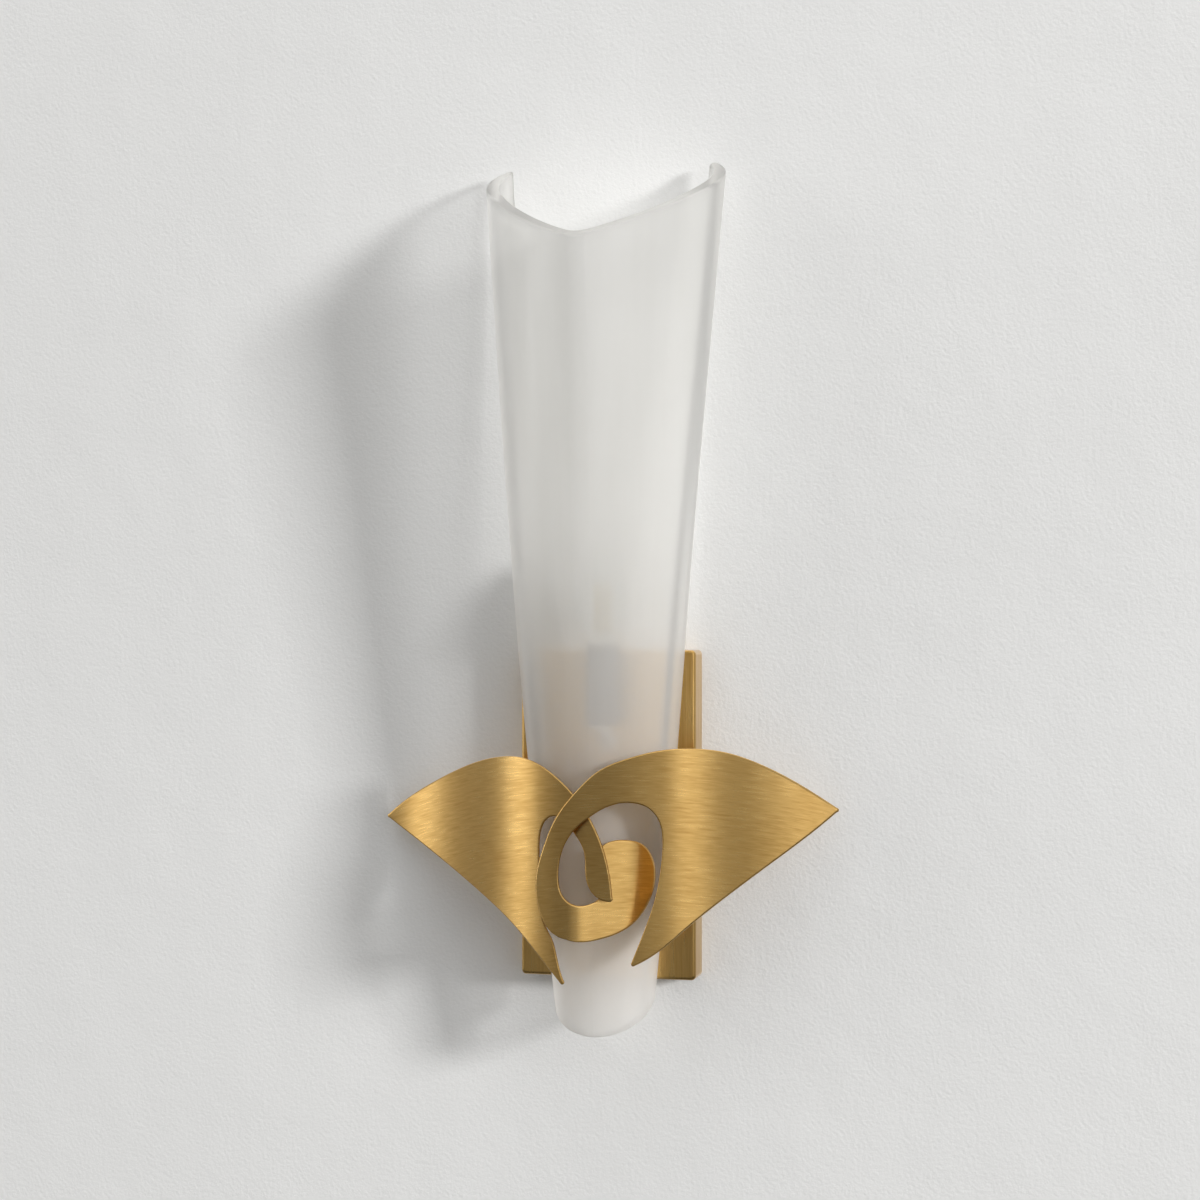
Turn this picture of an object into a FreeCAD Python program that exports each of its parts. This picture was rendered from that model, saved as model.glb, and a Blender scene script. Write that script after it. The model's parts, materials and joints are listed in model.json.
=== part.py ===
import FreeCAD, Part
import math
import os

Vector = FreeCAD.Vector

# Wall sconce: a frosted glass shell held off a brass backplate, with two bent brass fins across its front.
# Millimetres. X runs to the right and Z up. The wall is the plane Y = 0 and the sconce stands out along -Y,
# so a "depth" below is a distance out from the wall. The origin is the middle of the junction box pattern.

# ---------------------------------------------------------------- fits
THREAD_PLAY = 0.05           # round a screw in its thread
SCREW_PLAY = 0.3             # round a screw that passes through a plate
SLEEVE_PLAY = 0.1            # between a push-on sleeve or a bush and its seat
BULB_PLAY = 0.25             # round the bulb's cap in the screw shell
CONTACT_GAP = 0.3            # between the bulb's tip and its spring

# ---------------------------------------------------------------- glass shade
SHADE_WALL = 6.5             # across the front
SHADE_SIDE_WALL = 9.0        # at the widest place, where the glass is bent round
SHADE_LIP = 6.0              # at the rear lip
SHADE_FOOT_Z = -137.5        # lowest point, at the front of the foot
SHADE_RIM_Z = 357.4          # front of the rim, where the crease ends
SHADE_FOOT_FRONT = 57.0      # depth of the front at the foot
SHADE_RIM_FRONT = 107.5      # depth of the crease at the rim
SHADE_CUT_ANGLE = 31.0       # both ends are cut on planes that fall towards the front
SHADE_RUN_OUT = 25.0         # how far the shell is drawn past its cuts before they are made
FOLD_ANGLE = 28.0            # how far each half of the front turns back beside a full crease
ROUND_HANDLE = 0.5523        # handle length that makes a cubic follow a quarter circle
FOLD_HANDLE = 0.375          # handle at the crease, as a share of the half width
FOLD_SIDE_HANDLE = 0.224     # handle at the side, as a share of the depth in front of it
LIP_HANDLE = 0.385           # handles of the rear curve, as a share of its chord

# Sections from the foot up: height, half width, depth at the widest place, half width and depth of the rear
# lip, the lip's inward curl in degrees, and how far the front is folded (0 is round, 1 is a full crease).
SHADE_SECTIONS = [
    (-165.0, 27.3, 25.5, 27.3, 22.4, 0.0, 0.0),
    (-60.0, 37.8, 31.0, 37.6, 22.6, 4.0, 0.0),
    (30.0, 46.5, 37.5, 45.4, 22.4, 14.0, 0.1),
    (130.0, 55.0, 40.0, 52.0, 21.2, 26.0, 0.35),
    (250.0, 65.3, 36.5, 58.5, 16.2, 38.0, 0.7),
    (350.0, 73.7, 31.5, 64.5, 11.2, 46.0, 0.9),
    (440.0, 81.2, 27.0, 69.8, 7.0, 50.0, 1.0),
]

# ---------------------------------------------------------------- backplate
PLATE_WIDTH = 115.0
PLATE_HEIGHT = 210.0
PLATE_DEPTH = 20.5
PLATE_WALL = 1.6
PLATE_CORNER = 3.0           # rounding of the four corners
PLATE_EDGE = 2.2             # rounding round the front face

# ---------------------------------------------------------------- wall bracket and its studs
BRACKET_THICK = 2.0
BRACKET_ARM = 24.0
BRACKET_WIDTH = 109.0
BRACKET_HEIGHT = 104.0
BRACKET_CORNER = 4.0
BRACKET_CENTRE_RADIUS = 5.0
BOX_SCREW_SPACING = 88.9     # 3 1/2 in junction box
BOX_SLOT_LENGTH = 13.0
BOX_SLOT_RADIUS = 2.3
STUD_SPACING = 69.85         # 2 3/4 in
STUD_RADIUS = 2.1
STUD_REACH = 6.0             # how far a stud runs into its cap nut
LOCK_NUT_FLATS = 7.5
LOCK_NUT_HEIGHT = 2.5
CAP_NUT_RADIUS = 4.75
CAP_NUT_SKIRT = 4.5
CAP_WASHER_RADIUS = 5.5
CAP_WASHER_THICK = 0.8
GROUND_SCREW_Z = 18.0
GROUND_SCREW_RADIUS = 2.0

# ---------------------------------------------------------------- screws from inside the backplate
SCREW_RADIUS = 2.0
SCREW_HEAD_RADIUS = 3.6
SCREW_HEAD_HEIGHT = 2.0
SCREW_SLOT_WIDTH = 0.9
SCREW_SLOT_DEPTH = 0.9
HEAD_ROUNDING = 0.33         # share of a screw head's height that is rounded off
SCREW_REACH = 8.0            # thread in a post
BORE_SPARE = 1.5             # bore past the end of a screw
WASHER_RADIUS = 4.2
WASHER_THICK = 0.8

# ---------------------------------------------------------------- posts and clamps of the shade
GLASS_POST_RADIUS = 4.5
UPPER_POST_Z = 12.0
LOWER_POST_Z = -64.0
INNER_GASKET = 2.0
OUTER_GASKET = 1.4
GASKET_RADIUS = 6.0
BUSH_WALL = 1.0
CLAMP_WASHER_THICK = 0.8
GLASS_SCREW_HEAD = 1.9

# ---------------------------------------------------------------- fins
SHEET = 2.5                  # brass sheet of both fins
HORN_STANDOFF = 6.5          # horn's back from the glass, where the two fins cross
FIN_GAP = 2.0                # between the two fins where they cross
FIN_SEAM_X = -10.0           # the scroll's crest, where its inner end leaves the upper band's sweep
FIN_POST_INSET = 8.5         # from the backplate's side to the axis of a fin's post
FIN_POST_Z = -50.0
FIN_POST_RADIUS = 4.0
LINK_X = -9.0
LINK_Z = 7.0
LINK_RADIUS = 3.5
FIN_REACH = 110.0            # depth of the blanks that the fins are cut from

# Seen from above: how far each fin has dropped back from its crest at each X.
SCROLL_SWEEP = [(-34, 4.3), (-10, 0), (12, 1.2), (35, 5.0), (63, 15.8), (99, 39.8), (125, 56.3), (152, 69.3)]
INNER_SWEEP = [(-10, 0), (0, 3.2), (9, 8.6), (16, 12.6), (28, 19.5), (41, 29.5), (47, 34.5)]
HORN_SWEEP = [(-155, 71.5), (-112, 54.8), (-79, 33.8), (-43, 11.8), (-15, 2.6), (5, 0.3), (20, 0)]

# Seen from the front: the runs of each outline as X and Z, which meet in corners.
SCROLL_OUTER = [
    (147.5, 6.5), (126, 21.5), (103, 35), (81, 43.5), (64, 45.5), (47, 44.5), (29, 40), (11, 32.5), (-5, 18),
    (-18, 1), (-25, -14.5), (-30, -30.5), (-31, -40), (-30, -49), (-24.5, -63.5), (-10, -72.5),
]
SCROLL_HOLE = [
    (-10, -48.3), (-13.5, -43.5), (-15.2, -37), (-15.3, -31), (-12.5, -17), (-6, -6), (3.6, 2.5), (17.3, 10.4),
    (29.3, 12.3), (40, 9.2), (46, 2), (48.5, -14), (47.7, -26), (44, -47), (38, -65.5), (30, -86.3),
]
SCROLL_LOWER = [(32.3, -87.6), (47, -78.6), (61.5, -66), (81, -49.6), (103, -32.2), (126, -14.4), (147.3, 3.6)]
SCROLL_TIP = (148.7, 5)
SCROLL_POINT = (30.4, -87.6)
INNER_OUTER = [
    (-10, -72.5), (-1.8, -74.1), (9.8, -72.7), (26.4, -64.9), (36, -51.3), (39.6, -36), (38.8, -26),
    (36.5, -19.7), (31.7, -14.1), (24.2, -11.8), (15, -12.4), (9.5, -16), (8, -24), (8.7, -35),
    (9.5, -42), (8.7, -47.2), (4.1, -50.4), (-1.8, -51.6), (-6.7, -50.4), (-10, -48.3),
]
HORN_UPPER = [
    (-151.6, -4.2), (-135, 8.1), (-111, 21.1), (-94, 28.6), (-77, 34.5), (-60.5, 38), (-45, 38.5),
    (-30.5, 34.4), (-17.1, 25.9), (-8.4, 18), (3.4, 2.4), (11.8, -15.3), (16.2, -32.4), (17.8, -46),
]
HORN_TAIL_TIP = (17, -48.8)
HORN_INNER = [
    (15.3, -48.8), (10, -47.6), (5, -43.8), (1.2, -35.8), (0.5, -26.6), (-0.7, -17.4), (-7.3, -6.5), (-14, 0.5),
    (-20.8, 2.7), (-26.4, -0.5), (-29.2, -6.2), (-30.5, -20), (-29.5, -45), (-25.7, -67), (-22, -73),
    (-18.7, -83), (-13.3, -99.8),
]
HORN_POINT = (-14.4, -101.3)
HORN_LOWER = [
    (-16, -100.6), (-33.6, -82), (-52.5, -65), (-77, -49.4), (-102.6, -35.3), (-127.2, -21.6), (-151.3, -6.9),
]
HORN_TIP = (-152.8, -5.5)

# ---------------------------------------------------------------- lamp holder and bulb
LAMP_DEPTH = 34.0            # axis of holder and bulb
SHELF_RISE = 11.0            # from the grommet's axis to the top of the holder bracket's shelf
HOLDER_BRACKET_WIDTH = 14.0
HOLDER_BRACKET_THICK = 1.5
HOLDER_FOOT_HEIGHT = 14.0
HOLDER_SCREW_RISE = 8.0      # screw above the shelf
HOLDER_SHELF_END = 12.0      # shelf past the lamp's axis
NIPPLE_RADIUS = 4.0
NIPPLE_BORE = 3.2
NIPPLE_BELOW = 3.5
NIPPLE_ABOVE = 4.0
NIPPLE_NUT_FLATS = 11.0
NIPPLE_NUT_HEIGHT = 2.0
HOLDER_RADIUS = 9.5
HOLDER_HEIGHT = 42.0
HOLDER_FLOOR = 12.0          # floor of the bore above the shelf
HOLDER_HOLLOW = 8.5          # top of the leads' hollow above the shelf
SHELL_RADIUS = 6.7
SHELL_WALL = 0.5
SHELL_SHORT = 2.0            # shell's edge below the top of the holder
CONTACT_RADIUS = 3.0
CONTACT_THICK = 0.5
CONTACT_BUMP_RADIUS = 1.5
CONTACT_BUMP_HEIGHT = 2.2
SLEEVE_WALL = 1.4
SLEEVE_HEIGHT = 50.0
BULB_TIP_RADIUS = 2.0
BULB_TIP_HEIGHT = 1.0
INSULATOR_RADIUS = 4.2
INSULATOR_HEIGHT = 1.2
BULB_CAP_HEIGHT = 20.0
BULB_CAP_WALL = 0.35
BULB_THREAD_PITCH = 2.54
BULB_THREAD_DEPTH = 0.5
BULB_THREADS = 5
BULB_WALL = 0.8
BULB_SEAT = 3.0              # envelope's neck inside the cap
BULB_STEM_RADIUS = 2.2
BULB_STEM_HEIGHT = 22.0
FILAMENT_RADIUS = 0.9
FILAMENT_CIRCLE = 4.5
FILAMENT_LENGTH = 30.0
FILAMENT_COUNT = 4
# Envelope above the cap's top: radius and height.
BULB_PROFILE = [(5.5, 2.5), (6.1, 5.5), (8.6, 12), (12.8, 19.5), (17, 30), (17.2, 40), (14, 55), (8, 70), (3, 78)]
BULB_TOP = 80.0
BULB_NECK_FLARE = 0.3        # slope of the envelope where it leaves the cap

# ---------------------------------------------------------------- wiring
LEAD_RADIUS = 0.9
LEAD_PITCH = 4.0
LEAD_ARC = 5.5               # tightest bend of a lead
GROMMET_RISE = 12.075        # from the upper stud to the grommet's axis
GROMMET_BORE = 3.3
GROMMET_WAIST = 4.6
GROMMET_FLANGE = 5.8
GROMMET_LIP = 1.0
BLOCK_X = 14.0
BLOCK_WIDTH = 20.0
BLOCK_THICK = 10.0
BLOCK_MARGIN = 3.6           # block past its outer poles
LEAD_ENTRY = 11.0            # bore for a lead
LEAD_BORE_PLAY = 0.15
TERMINAL_SCREW_RADIUS = 1.1
TERMINAL_SCREW_IN = 6.0      # terminal screw from the block's entry side
TERMINAL_SCREW_PROUD = 0.6
RING_RADIUS = 4.0            # the ring on the ground lead's end
RING_THICK = 0.8
RING_JOIN = 0.8              # height above the ring's middle where the lead joins it, as a share of its radius
GROUND_HEAD_RADIUS = 3.8
GROUND_HEAD_HEIGHT = 2.2


# ---------------------------------------------------------------- sizes that follow from these
PLATE_INSIDE = PLATE_DEPTH - PLATE_WALL
FIN_POST_X = PLATE_WIDTH / 2 - FIN_POST_INSET
GROMMET_Z = STUD_SPACING / 2 + GROMMET_RISE
SHELF_Z = GROMMET_Z + SHELF_RISE
SHADE_LEAN = (SHADE_RIM_FRONT - SHADE_FOOT_FRONT) / (SHADE_RIM_Z - SHADE_FOOT_Z)


def shade_front(z):
    """Depth of the shade's front line at a height."""
    return SHADE_FOOT_FRONT + SHADE_LEAN * (z - SHADE_FOOT_Z)


HORN_CREST = shade_front(LINK_Z) + HORN_STANDOFF + SHEET
SCROLL_CREST = HORN_CREST + FIN_GAP + SHEET
GLASS_POSTS = {"upper": UPPER_POST_Z, "lower": LOWER_POST_Z}
FIN_POSTS = {"right": FIN_POST_X, "left": -FIN_POST_X}
BUSH_RADIUS = SCREW_RADIUS + SCREW_PLAY + BUSH_WALL
SHELL_BORE = SHELL_RADIUS - SHELL_WALL
BULB_CAP_RADIUS = SHELL_BORE - BULB_PLAY
BULB_BOTTOM = SHELF_Z + HOLDER_FLOOR + CONTACT_THICK + CONTACT_BUMP_HEIGHT + CONTACT_GAP
BULB_CAP_Z = BULB_BOTTOM + BULB_TIP_HEIGHT + INSULATOR_HEIGHT
BULB_CAP_TOP = BULB_CAP_Z + BULB_CAP_HEIGHT
LEAD_HEIGHTS = {"neutral": GROMMET_Z + LEAD_PITCH / 2, "line": GROMMET_Z - LEAD_PITCH / 2}
GROUND_POLE_Z = GROMMET_Z - LEAD_PITCH * 1.5
BLOCK_POLES = [LEAD_HEIGHTS["neutral"], LEAD_HEIGHTS["line"], GROUND_POLE_Z]
LEAD_DEPTH = PLATE_INSIDE - LEAD_ARC


# ---------------------------------------------------------------- helpers
def at(x, depth, z):
    return Vector(x, -depth, z)


def rod(radius, x, z, near, far):
    """Round bar that stands out from the wall, between two depths."""
    return Part.makeCylinder(radius, far - near, at(x, near, z), Vector(0, -1, 0))


def pillar(radius, low, high, depth=LAMP_DEPTH, x=0.0):
    """Round bar that stands upright, between two heights."""
    return Part.makeCylinder(radius, high - low, at(x, depth, low), Vector(0, 0, 1))


def block(left, right, near, far, low, high):
    return Part.makeBox(right - left, far - near, high - low, Vector(left, -far, low))


def ring(outer, inner, x, z, near, far):
    return rod(outer, x, z, near, far).cut(rod(inner, x, z, near, far))


def hexagon(flats, x, z, near, far):
    """Hexagonal bar that stands out from the wall."""
    radius = flats / math.sqrt(3)
    corners = [
        at(x + radius * math.cos(math.radians(60 * i)), near, z + radius * math.sin(math.radians(60 * i)))
        for i in range(7)
    ]
    return Part.Face(Part.makePolygon(corners)).extrude(Vector(0, near - far, 0))


def spline(points, start=None, end=None):
    """Smooth curve through points, with its end directions fixed where they are given."""
    curve = Part.BSplineCurve()
    if start is None:
        curve.interpolate(points)
    else:
        curve.interpolate(Points=points, InitialTangent=start, FinalTangent=end)
    return curve


def save(name, *shapes):
    """One STEP file for a node; identical pieces share it as separate solids."""
    shape = shapes[0] if len(shapes) == 1 else Part.makeCompound(list(shapes))
    shape.exportStep("parts/" + name + ".step")
    solids = ", ".join("%.1f" % (s.Volume / 1000) for s in shape.Solids)
    print("%-22s %s cm3, valid %s" % (name, solids, shape.isValid()))


def pan_screw(x, z, head, tip, radius=SCREW_RADIUS, head_radius=SCREW_HEAD_RADIUS, height=SCREW_HEAD_HEIGHT):
    """Slotted screw from the seat of its head to its tip, both depths."""
    away = math.copysign(1, head - tip)
    top = head + away * height
    body = rod(head_radius, x, z, min(head, top), max(head, top))
    rim = [e for e in body.Edges if abs(e.BoundBox.Center.y + top) < height / 4]
    body = body.makeFillet(height * HEAD_ROUNDING, rim)
    low = top - away * SCREW_SLOT_DEPTH
    slot = block(
        x - head_radius, x + head_radius, min(low, top), max(low, top),
        z - SCREW_SLOT_WIDTH / 2, z + SCREW_SLOT_WIDTH / 2,
    )
    return body.cut(slot).fuse(rod(radius, x, z, min(head, tip), max(head, tip)))


# ---------------------------------------------------------------- shade
def shade_half(half_width, widest, lip, curl, fold, front, walls):
    """Right half of a section as the handles of two cubics, from the crease to the rear lip.

    The walls are how far it lies inside the glass's outer face at the crease, the side and the lip.
    """
    front_wall, side_wall, lip_wall = walls
    turn = math.radians(FOLD_ANGLE) * fold
    lean = math.radians(curl)
    side = half_width - side_wall
    crest = front - front_wall / math.cos(turn)
    lip = (lip[0] - lip_wall * math.cos(lean), lip[1] + lip_wall * math.sin(lean))
    along = side * (ROUND_HANDLE + (FOLD_HANDLE - ROUND_HANDLE) * fold)
    rise = (crest - widest) * (ROUND_HANDLE + (FOLD_SIDE_HANDLE - ROUND_HANDLE) * fold)
    reach = math.hypot(side - lip[0], widest - lip[1]) * LIP_HANDLE
    return [
        (0.0, crest),
        (along, crest - along * math.tan(turn)),
        (side, widest + rise),
        (side, widest),
        (side, widest - reach),
        (lip[0] + reach * math.sin(lean), lip[1] + reach * math.cos(lean)),
        lip,
    ]


def bezier(points):
    curve = Part.BezierCurve()
    curve.setPoles(points)
    return curve.toShape()


def shade_section(z, half_width, widest, lip_x, lip_depth, curl, fold):
    front = shade_front(z)
    lip = (lip_x, lip_depth)
    outside = shade_half(half_width, widest, lip, curl, fold, front, (0.0, 0.0, 0.0))
    inside = shade_half(half_width, widest, lip, curl, fold, front, (SHADE_WALL, SHADE_SIDE_WALL, SHADE_LIP))

    def side(sign):
        out = [at(sign * x, depth, z) for x, depth in outside]
        back = [at(sign * x, depth, z) for x, depth in reversed(inside)]
        return [
            bezier(out[0:4]),
            bezier(out[3:7]),
            Part.LineSegment(out[6], back[0]).toShape(),
            bezier(back[0:4]),
            bezier(back[3:7]),
        ]

    right = side(1)
    left = [edge.reversed() for edge in reversed(side(-1))]
    return Part.Wire(right + left)


def shade_shell():
    """The open-backed shell, drawn long and cut to length by the two slanting planes."""
    shell = Part.makeLoft([shade_section(*section) for section in SHADE_SECTIONS], True, False)
    fall = math.tan(math.radians(SHADE_CUT_ANGLE))
    wide = 2 * max(section[1] for section in SHADE_SECTIONS) + SHADE_RUN_OUT
    far = SHADE_RIM_FRONT + SHADE_RUN_OUT

    def cut_at(depth, z, front):
        return at(-wide / 2, depth, z + (front - depth) * fall)

    corners = [
        cut_at(0, SHADE_FOOT_Z, SHADE_FOOT_FRONT),
        cut_at(far, SHADE_FOOT_Z, SHADE_FOOT_FRONT),
        cut_at(far, SHADE_RIM_Z, SHADE_RIM_FRONT),
        cut_at(0, SHADE_RIM_Z, SHADE_RIM_FRONT),
        cut_at(0, SHADE_FOOT_Z, SHADE_FOOT_FRONT),
    ]
    keep = Part.Face(Part.makePolygon(corners)).extrude(Vector(wide, 0, 0))
    return shell.common(keep)


def glass_shade(shell):
    for z in GLASS_POSTS.values():
        shell = shell.cut(rod(BUSH_RADIUS + SLEEVE_PLAY, 0, z, 0, SHADE_RIM_FRONT))
    return shell


def post_end(z):
    return shade_front(z) - SHADE_WALL - INNER_GASKET


def clamp_seat(z):
    return shade_front(z) + OUTER_GASKET


def glass_post(z):
    end = post_end(z)
    post = rod(GLASS_POST_RADIUS, 0, z, PLATE_DEPTH, end)
    rear_bore = rod(SCREW_RADIUS + THREAD_PLAY, 0, z, PLATE_DEPTH, PLATE_DEPTH + SCREW_REACH + BORE_SPARE)
    front_bore = rod(SCREW_RADIUS + THREAD_PLAY, 0, z, end - SCREW_REACH - BORE_SPARE, end)
    return post.cut(rear_bore).cut(front_bore)


def inner_gasket(z, shell):
    middle = shade_front(z) - SHADE_WALL / 2
    return ring(GASKET_RADIUS, SCREW_RADIUS + SCREW_PLAY, 0, z, post_end(z), middle).cut(shell)


def outer_gasket(z, shell):
    middle = shade_front(z) - SHADE_WALL / 2
    return ring(GASKET_RADIUS, SCREW_RADIUS + SCREW_PLAY, 0, z, middle, clamp_seat(z)).cut(shell)


def glass_bush(z, shell):
    return ring(BUSH_RADIUS, SCREW_RADIUS + SCREW_PLAY, 0, z, 0, SHADE_RIM_FRONT).common(shell)


def clamp_washer(z):
    seat = clamp_seat(z)
    return ring(GASKET_RADIUS, SCREW_RADIUS + SCREW_PLAY, 0, z, seat, seat + CLAMP_WASHER_THICK)


def glass_screw(z):
    return pan_screw(0, z, clamp_seat(z) + CLAMP_WASHER_THICK, post_end(z) - SCREW_REACH, height=GLASS_SCREW_HEAD)


# ---------------------------------------------------------------- fins
def plan_curve(sweep, crest, inset):
    """A fin's front as seen from above, or with an inset its back. It runs straight along X at the seam."""
    curve = spline([at(x, crest - drop, 0) for x, drop in sweep])
    points = []
    for x, drop in sweep:
        point = at(x, crest - drop, 0)
        tangent = curve.tangent(curve.parameter(point))[0]
        normal = Vector(-tangent.y, tangent.x, 0) if x != FIN_SEAM_X else Vector(0, 1, 0)
        points.append(point + normal * inset)
    seam = [x == FIN_SEAM_X for x, drop in sweep]
    if not any(seam):
        return spline(points)
    fixed = Part.BSplineCurve()
    fixed.interpolate(Points=points, Tangents=[Vector(1, 0, 0)] * len(points), TangentFlags=seam)
    return fixed


def behind(curve, half_height):
    """Everything between the wall and a plan curve."""
    start = curve.StartPoint
    end = curve.EndPoint
    edges = [
        curve.toShape(),
        Part.LineSegment(end, at(end.x, 0, 0)).toShape(),
        Part.LineSegment(at(end.x, 0, 0), at(start.x, 0, 0)).toShape(),
        Part.LineSegment(at(start.x, 0, 0), start).toShape(),
    ]
    face = Part.Face(Part.Wire(edges))
    face.translate(Vector(0, 0, -half_height))
    return face.extrude(Vector(0, 0, 2 * half_height))


def sheet(sweep, crest):
    """A tall sheet bent along a plan curve, before its outline is cut."""
    front = behind(plan_curve(sweep, crest, 0), FIN_REACH)
    back = behind(plan_curve(sweep, crest, SHEET), FIN_REACH)
    return front.cut(back)


def blank(edges):
    """Prism of an outline, long enough to cut through either fin."""
    return Part.Face(Part.Wire(edges)).extrude(Vector(0, -FIN_REACH, 0))


def run(points):
    return spline([at(x, 0, z) for x, z in points]).toShape()


def nose(start, middle, end):
    """The small arc that rounds off a point of an outline."""
    return Part.Arc(at(start[0], 0, start[1]), at(middle[0], 0, middle[1]), at(end[0], 0, end[1])).toShape()


def scroll_fin():
    seam_low = at(FIN_SEAM_X, 0, SCROLL_OUTER[-1][1])
    seam_high = at(FIN_SEAM_X, 0, SCROLL_HOLE[0][1])
    seam = Part.LineSegment(seam_low, seam_high).toShape()
    body = blank([
        run(SCROLL_OUTER),
        seam,
        run(SCROLL_HOLE),
        nose(SCROLL_HOLE[-1], SCROLL_POINT, SCROLL_LOWER[0]),
        run(SCROLL_LOWER),
        nose(SCROLL_LOWER[-1], SCROLL_TIP, SCROLL_OUTER[0]),
    ])
    end = blank([run(INNER_OUTER), seam])
    upper = body.common(sheet(SCROLL_SWEEP, SCROLL_CREST))
    lower = end.common(sheet(INNER_SWEEP, SCROLL_CREST))
    return upper.fuse(lower)


def horn_fin():
    body = blank([
        run(HORN_UPPER),
        nose(HORN_UPPER[-1], HORN_TAIL_TIP, HORN_INNER[0]),
        run(HORN_INNER),
        nose(HORN_INNER[-1], HORN_POINT, HORN_LOWER[0]),
        run(HORN_LOWER),
        nose(HORN_LOWER[-1], HORN_TIP, HORN_UPPER[0]),
    ])
    return body.common(sheet(HORN_SWEEP, HORN_CREST))


def fin_post(x, sweep, crest):
    """Post from the backplate to a fin's back, shaped to the bend where it is soldered on."""
    post = rod(FIN_POST_RADIUS, x, FIN_POST_Z, PLATE_DEPTH, crest)
    bore = rod(SCREW_RADIUS + THREAD_PLAY, x, FIN_POST_Z, PLATE_DEPTH, PLATE_DEPTH + SCREW_REACH + BORE_SPARE)
    return post.common(behind(plan_curve(sweep, crest, SHEET), FIN_REACH)).cut(bore)


def link_spacer():
    disc = rod(LINK_RADIUS, LINK_X, LINK_Z, 0, SCROLL_CREST)
    under_scroll = behind(plan_curve(SCROLL_SWEEP, SCROLL_CREST, SHEET), FIN_REACH)
    return disc.common(under_scroll).cut(behind(plan_curve(HORN_SWEEP, HORN_CREST, 0), FIN_REACH))


# ---------------------------------------------------------------- backplate and wall bracket
def rounded_box(width, height, near, far, corner, edge):
    box = block(-width / 2, width / 2, near, far, -height / 2, height / 2)
    corners = [e for e in box.Edges if abs(e.BoundBox.YLength - (far - near)) < edge / 10]
    box = box.makeFillet(corner, corners)
    front = [e for e in box.Edges if abs(e.BoundBox.YMax + far) < edge / 10 and e.BoundBox.YLength < edge / 10]
    return box.makeFillet(edge, front)


def backplate():
    inset = 2 * PLATE_WALL
    outside = rounded_box(PLATE_WIDTH, PLATE_HEIGHT, 0, PLATE_DEPTH, PLATE_CORNER, PLATE_EDGE)
    inside = rounded_box(
        PLATE_WIDTH - inset, PLATE_HEIGHT - inset, 0, PLATE_INSIDE, PLATE_CORNER - PLATE_WALL, PLATE_EDGE - PLATE_WALL
    )
    plate = outside.cut(inside)
    for z in (STUD_SPACING / 2, -STUD_SPACING / 2):
        plate = plate.cut(rod(STUD_RADIUS + SCREW_PLAY, 0, z, 0, PLATE_DEPTH))
    for x, z in plate_screws():
        plate = plate.cut(rod(SCREW_RADIUS + SCREW_PLAY, x, z, 0, PLATE_DEPTH))
    return plate.cut(rod(GROMMET_WAIST + SLEEVE_PLAY, 0, GROMMET_Z, 0, PLATE_DEPTH))


def plate_screws():
    """Places of the screws that are put in from inside the backplate."""
    glass = [(0, z) for z in GLASS_POSTS.values()]
    fins = [(x, FIN_POST_Z) for x in FIN_POSTS.values()]
    return glass + fins + [(0, SHELF_Z + HOLDER_SCREW_RISE)]


def wall_bracket():
    tall = block(-BRACKET_ARM / 2, BRACKET_ARM / 2, 0, BRACKET_THICK, -BRACKET_HEIGHT / 2, BRACKET_HEIGHT / 2)
    wide = block(-BRACKET_WIDTH / 2, BRACKET_WIDTH / 2, 0, BRACKET_THICK, -BRACKET_ARM / 2, BRACKET_ARM / 2)
    plate = tall.fuse(wide).removeSplitter()
    corners = [e for e in plate.Edges if e.BoundBox.YLength > BRACKET_THICK / 2]
    plate = plate.makeFillet(BRACKET_CORNER, corners)
    plate = plate.cut(rod(BRACKET_CENTRE_RADIUS, 0, 0, 0, BRACKET_THICK))
    for side in (1, -1):
        plate = plate.cut(box_slot(side * BOX_SCREW_SPACING / 2))
        plate = plate.cut(rod(STUD_RADIUS + THREAD_PLAY, 0, side * STUD_SPACING / 2, 0, BRACKET_THICK))
    return plate.cut(rod(GROUND_SCREW_RADIUS + THREAD_PLAY, 0, GROUND_SCREW_Z, 0, BRACKET_THICK))


def box_slot(x):
    half = BOX_SLOT_LENGTH / 2 - BOX_SLOT_RADIUS
    middle = block(x - half, x + half, 0, BRACKET_THICK, -BOX_SLOT_RADIUS, BOX_SLOT_RADIUS)
    ends = [rod(BOX_SLOT_RADIUS, x + side * half, 0, 0, BRACKET_THICK) for side in (1, -1)]
    return middle.fuse(ends).removeSplitter()


def cap_nut(z):
    seat = PLATE_DEPTH + CAP_WASHER_THICK
    skirt = rod(CAP_NUT_RADIUS, 0, z, seat, seat + CAP_NUT_SKIRT)
    dome = Part.makeSphere(CAP_NUT_RADIUS, at(0, seat + CAP_NUT_SKIRT, z))
    front = block(
        -CAP_NUT_RADIUS, CAP_NUT_RADIUS, seat + CAP_NUT_SKIRT, seat + CAP_NUT_SKIRT + CAP_NUT_RADIUS,
        z - CAP_NUT_RADIUS, z + CAP_NUT_RADIUS,
    )
    bore = rod(STUD_RADIUS + THREAD_PLAY, 0, z, seat, seat + STUD_REACH + BORE_SPARE)
    return skirt.fuse(dome.common(front)).cut(bore)


def bracket_stud(z):
    return rod(STUD_RADIUS, 0, z, THREAD_PLAY, PLATE_DEPTH + CAP_WASHER_THICK + STUD_REACH)


def stud_lock_nut(z):
    near = BRACKET_THICK
    nut = hexagon(LOCK_NUT_FLATS, 0, z, near, near + LOCK_NUT_HEIGHT)
    return nut.cut(rod(STUD_RADIUS + THREAD_PLAY, 0, z, near, near + LOCK_NUT_HEIGHT))


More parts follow.
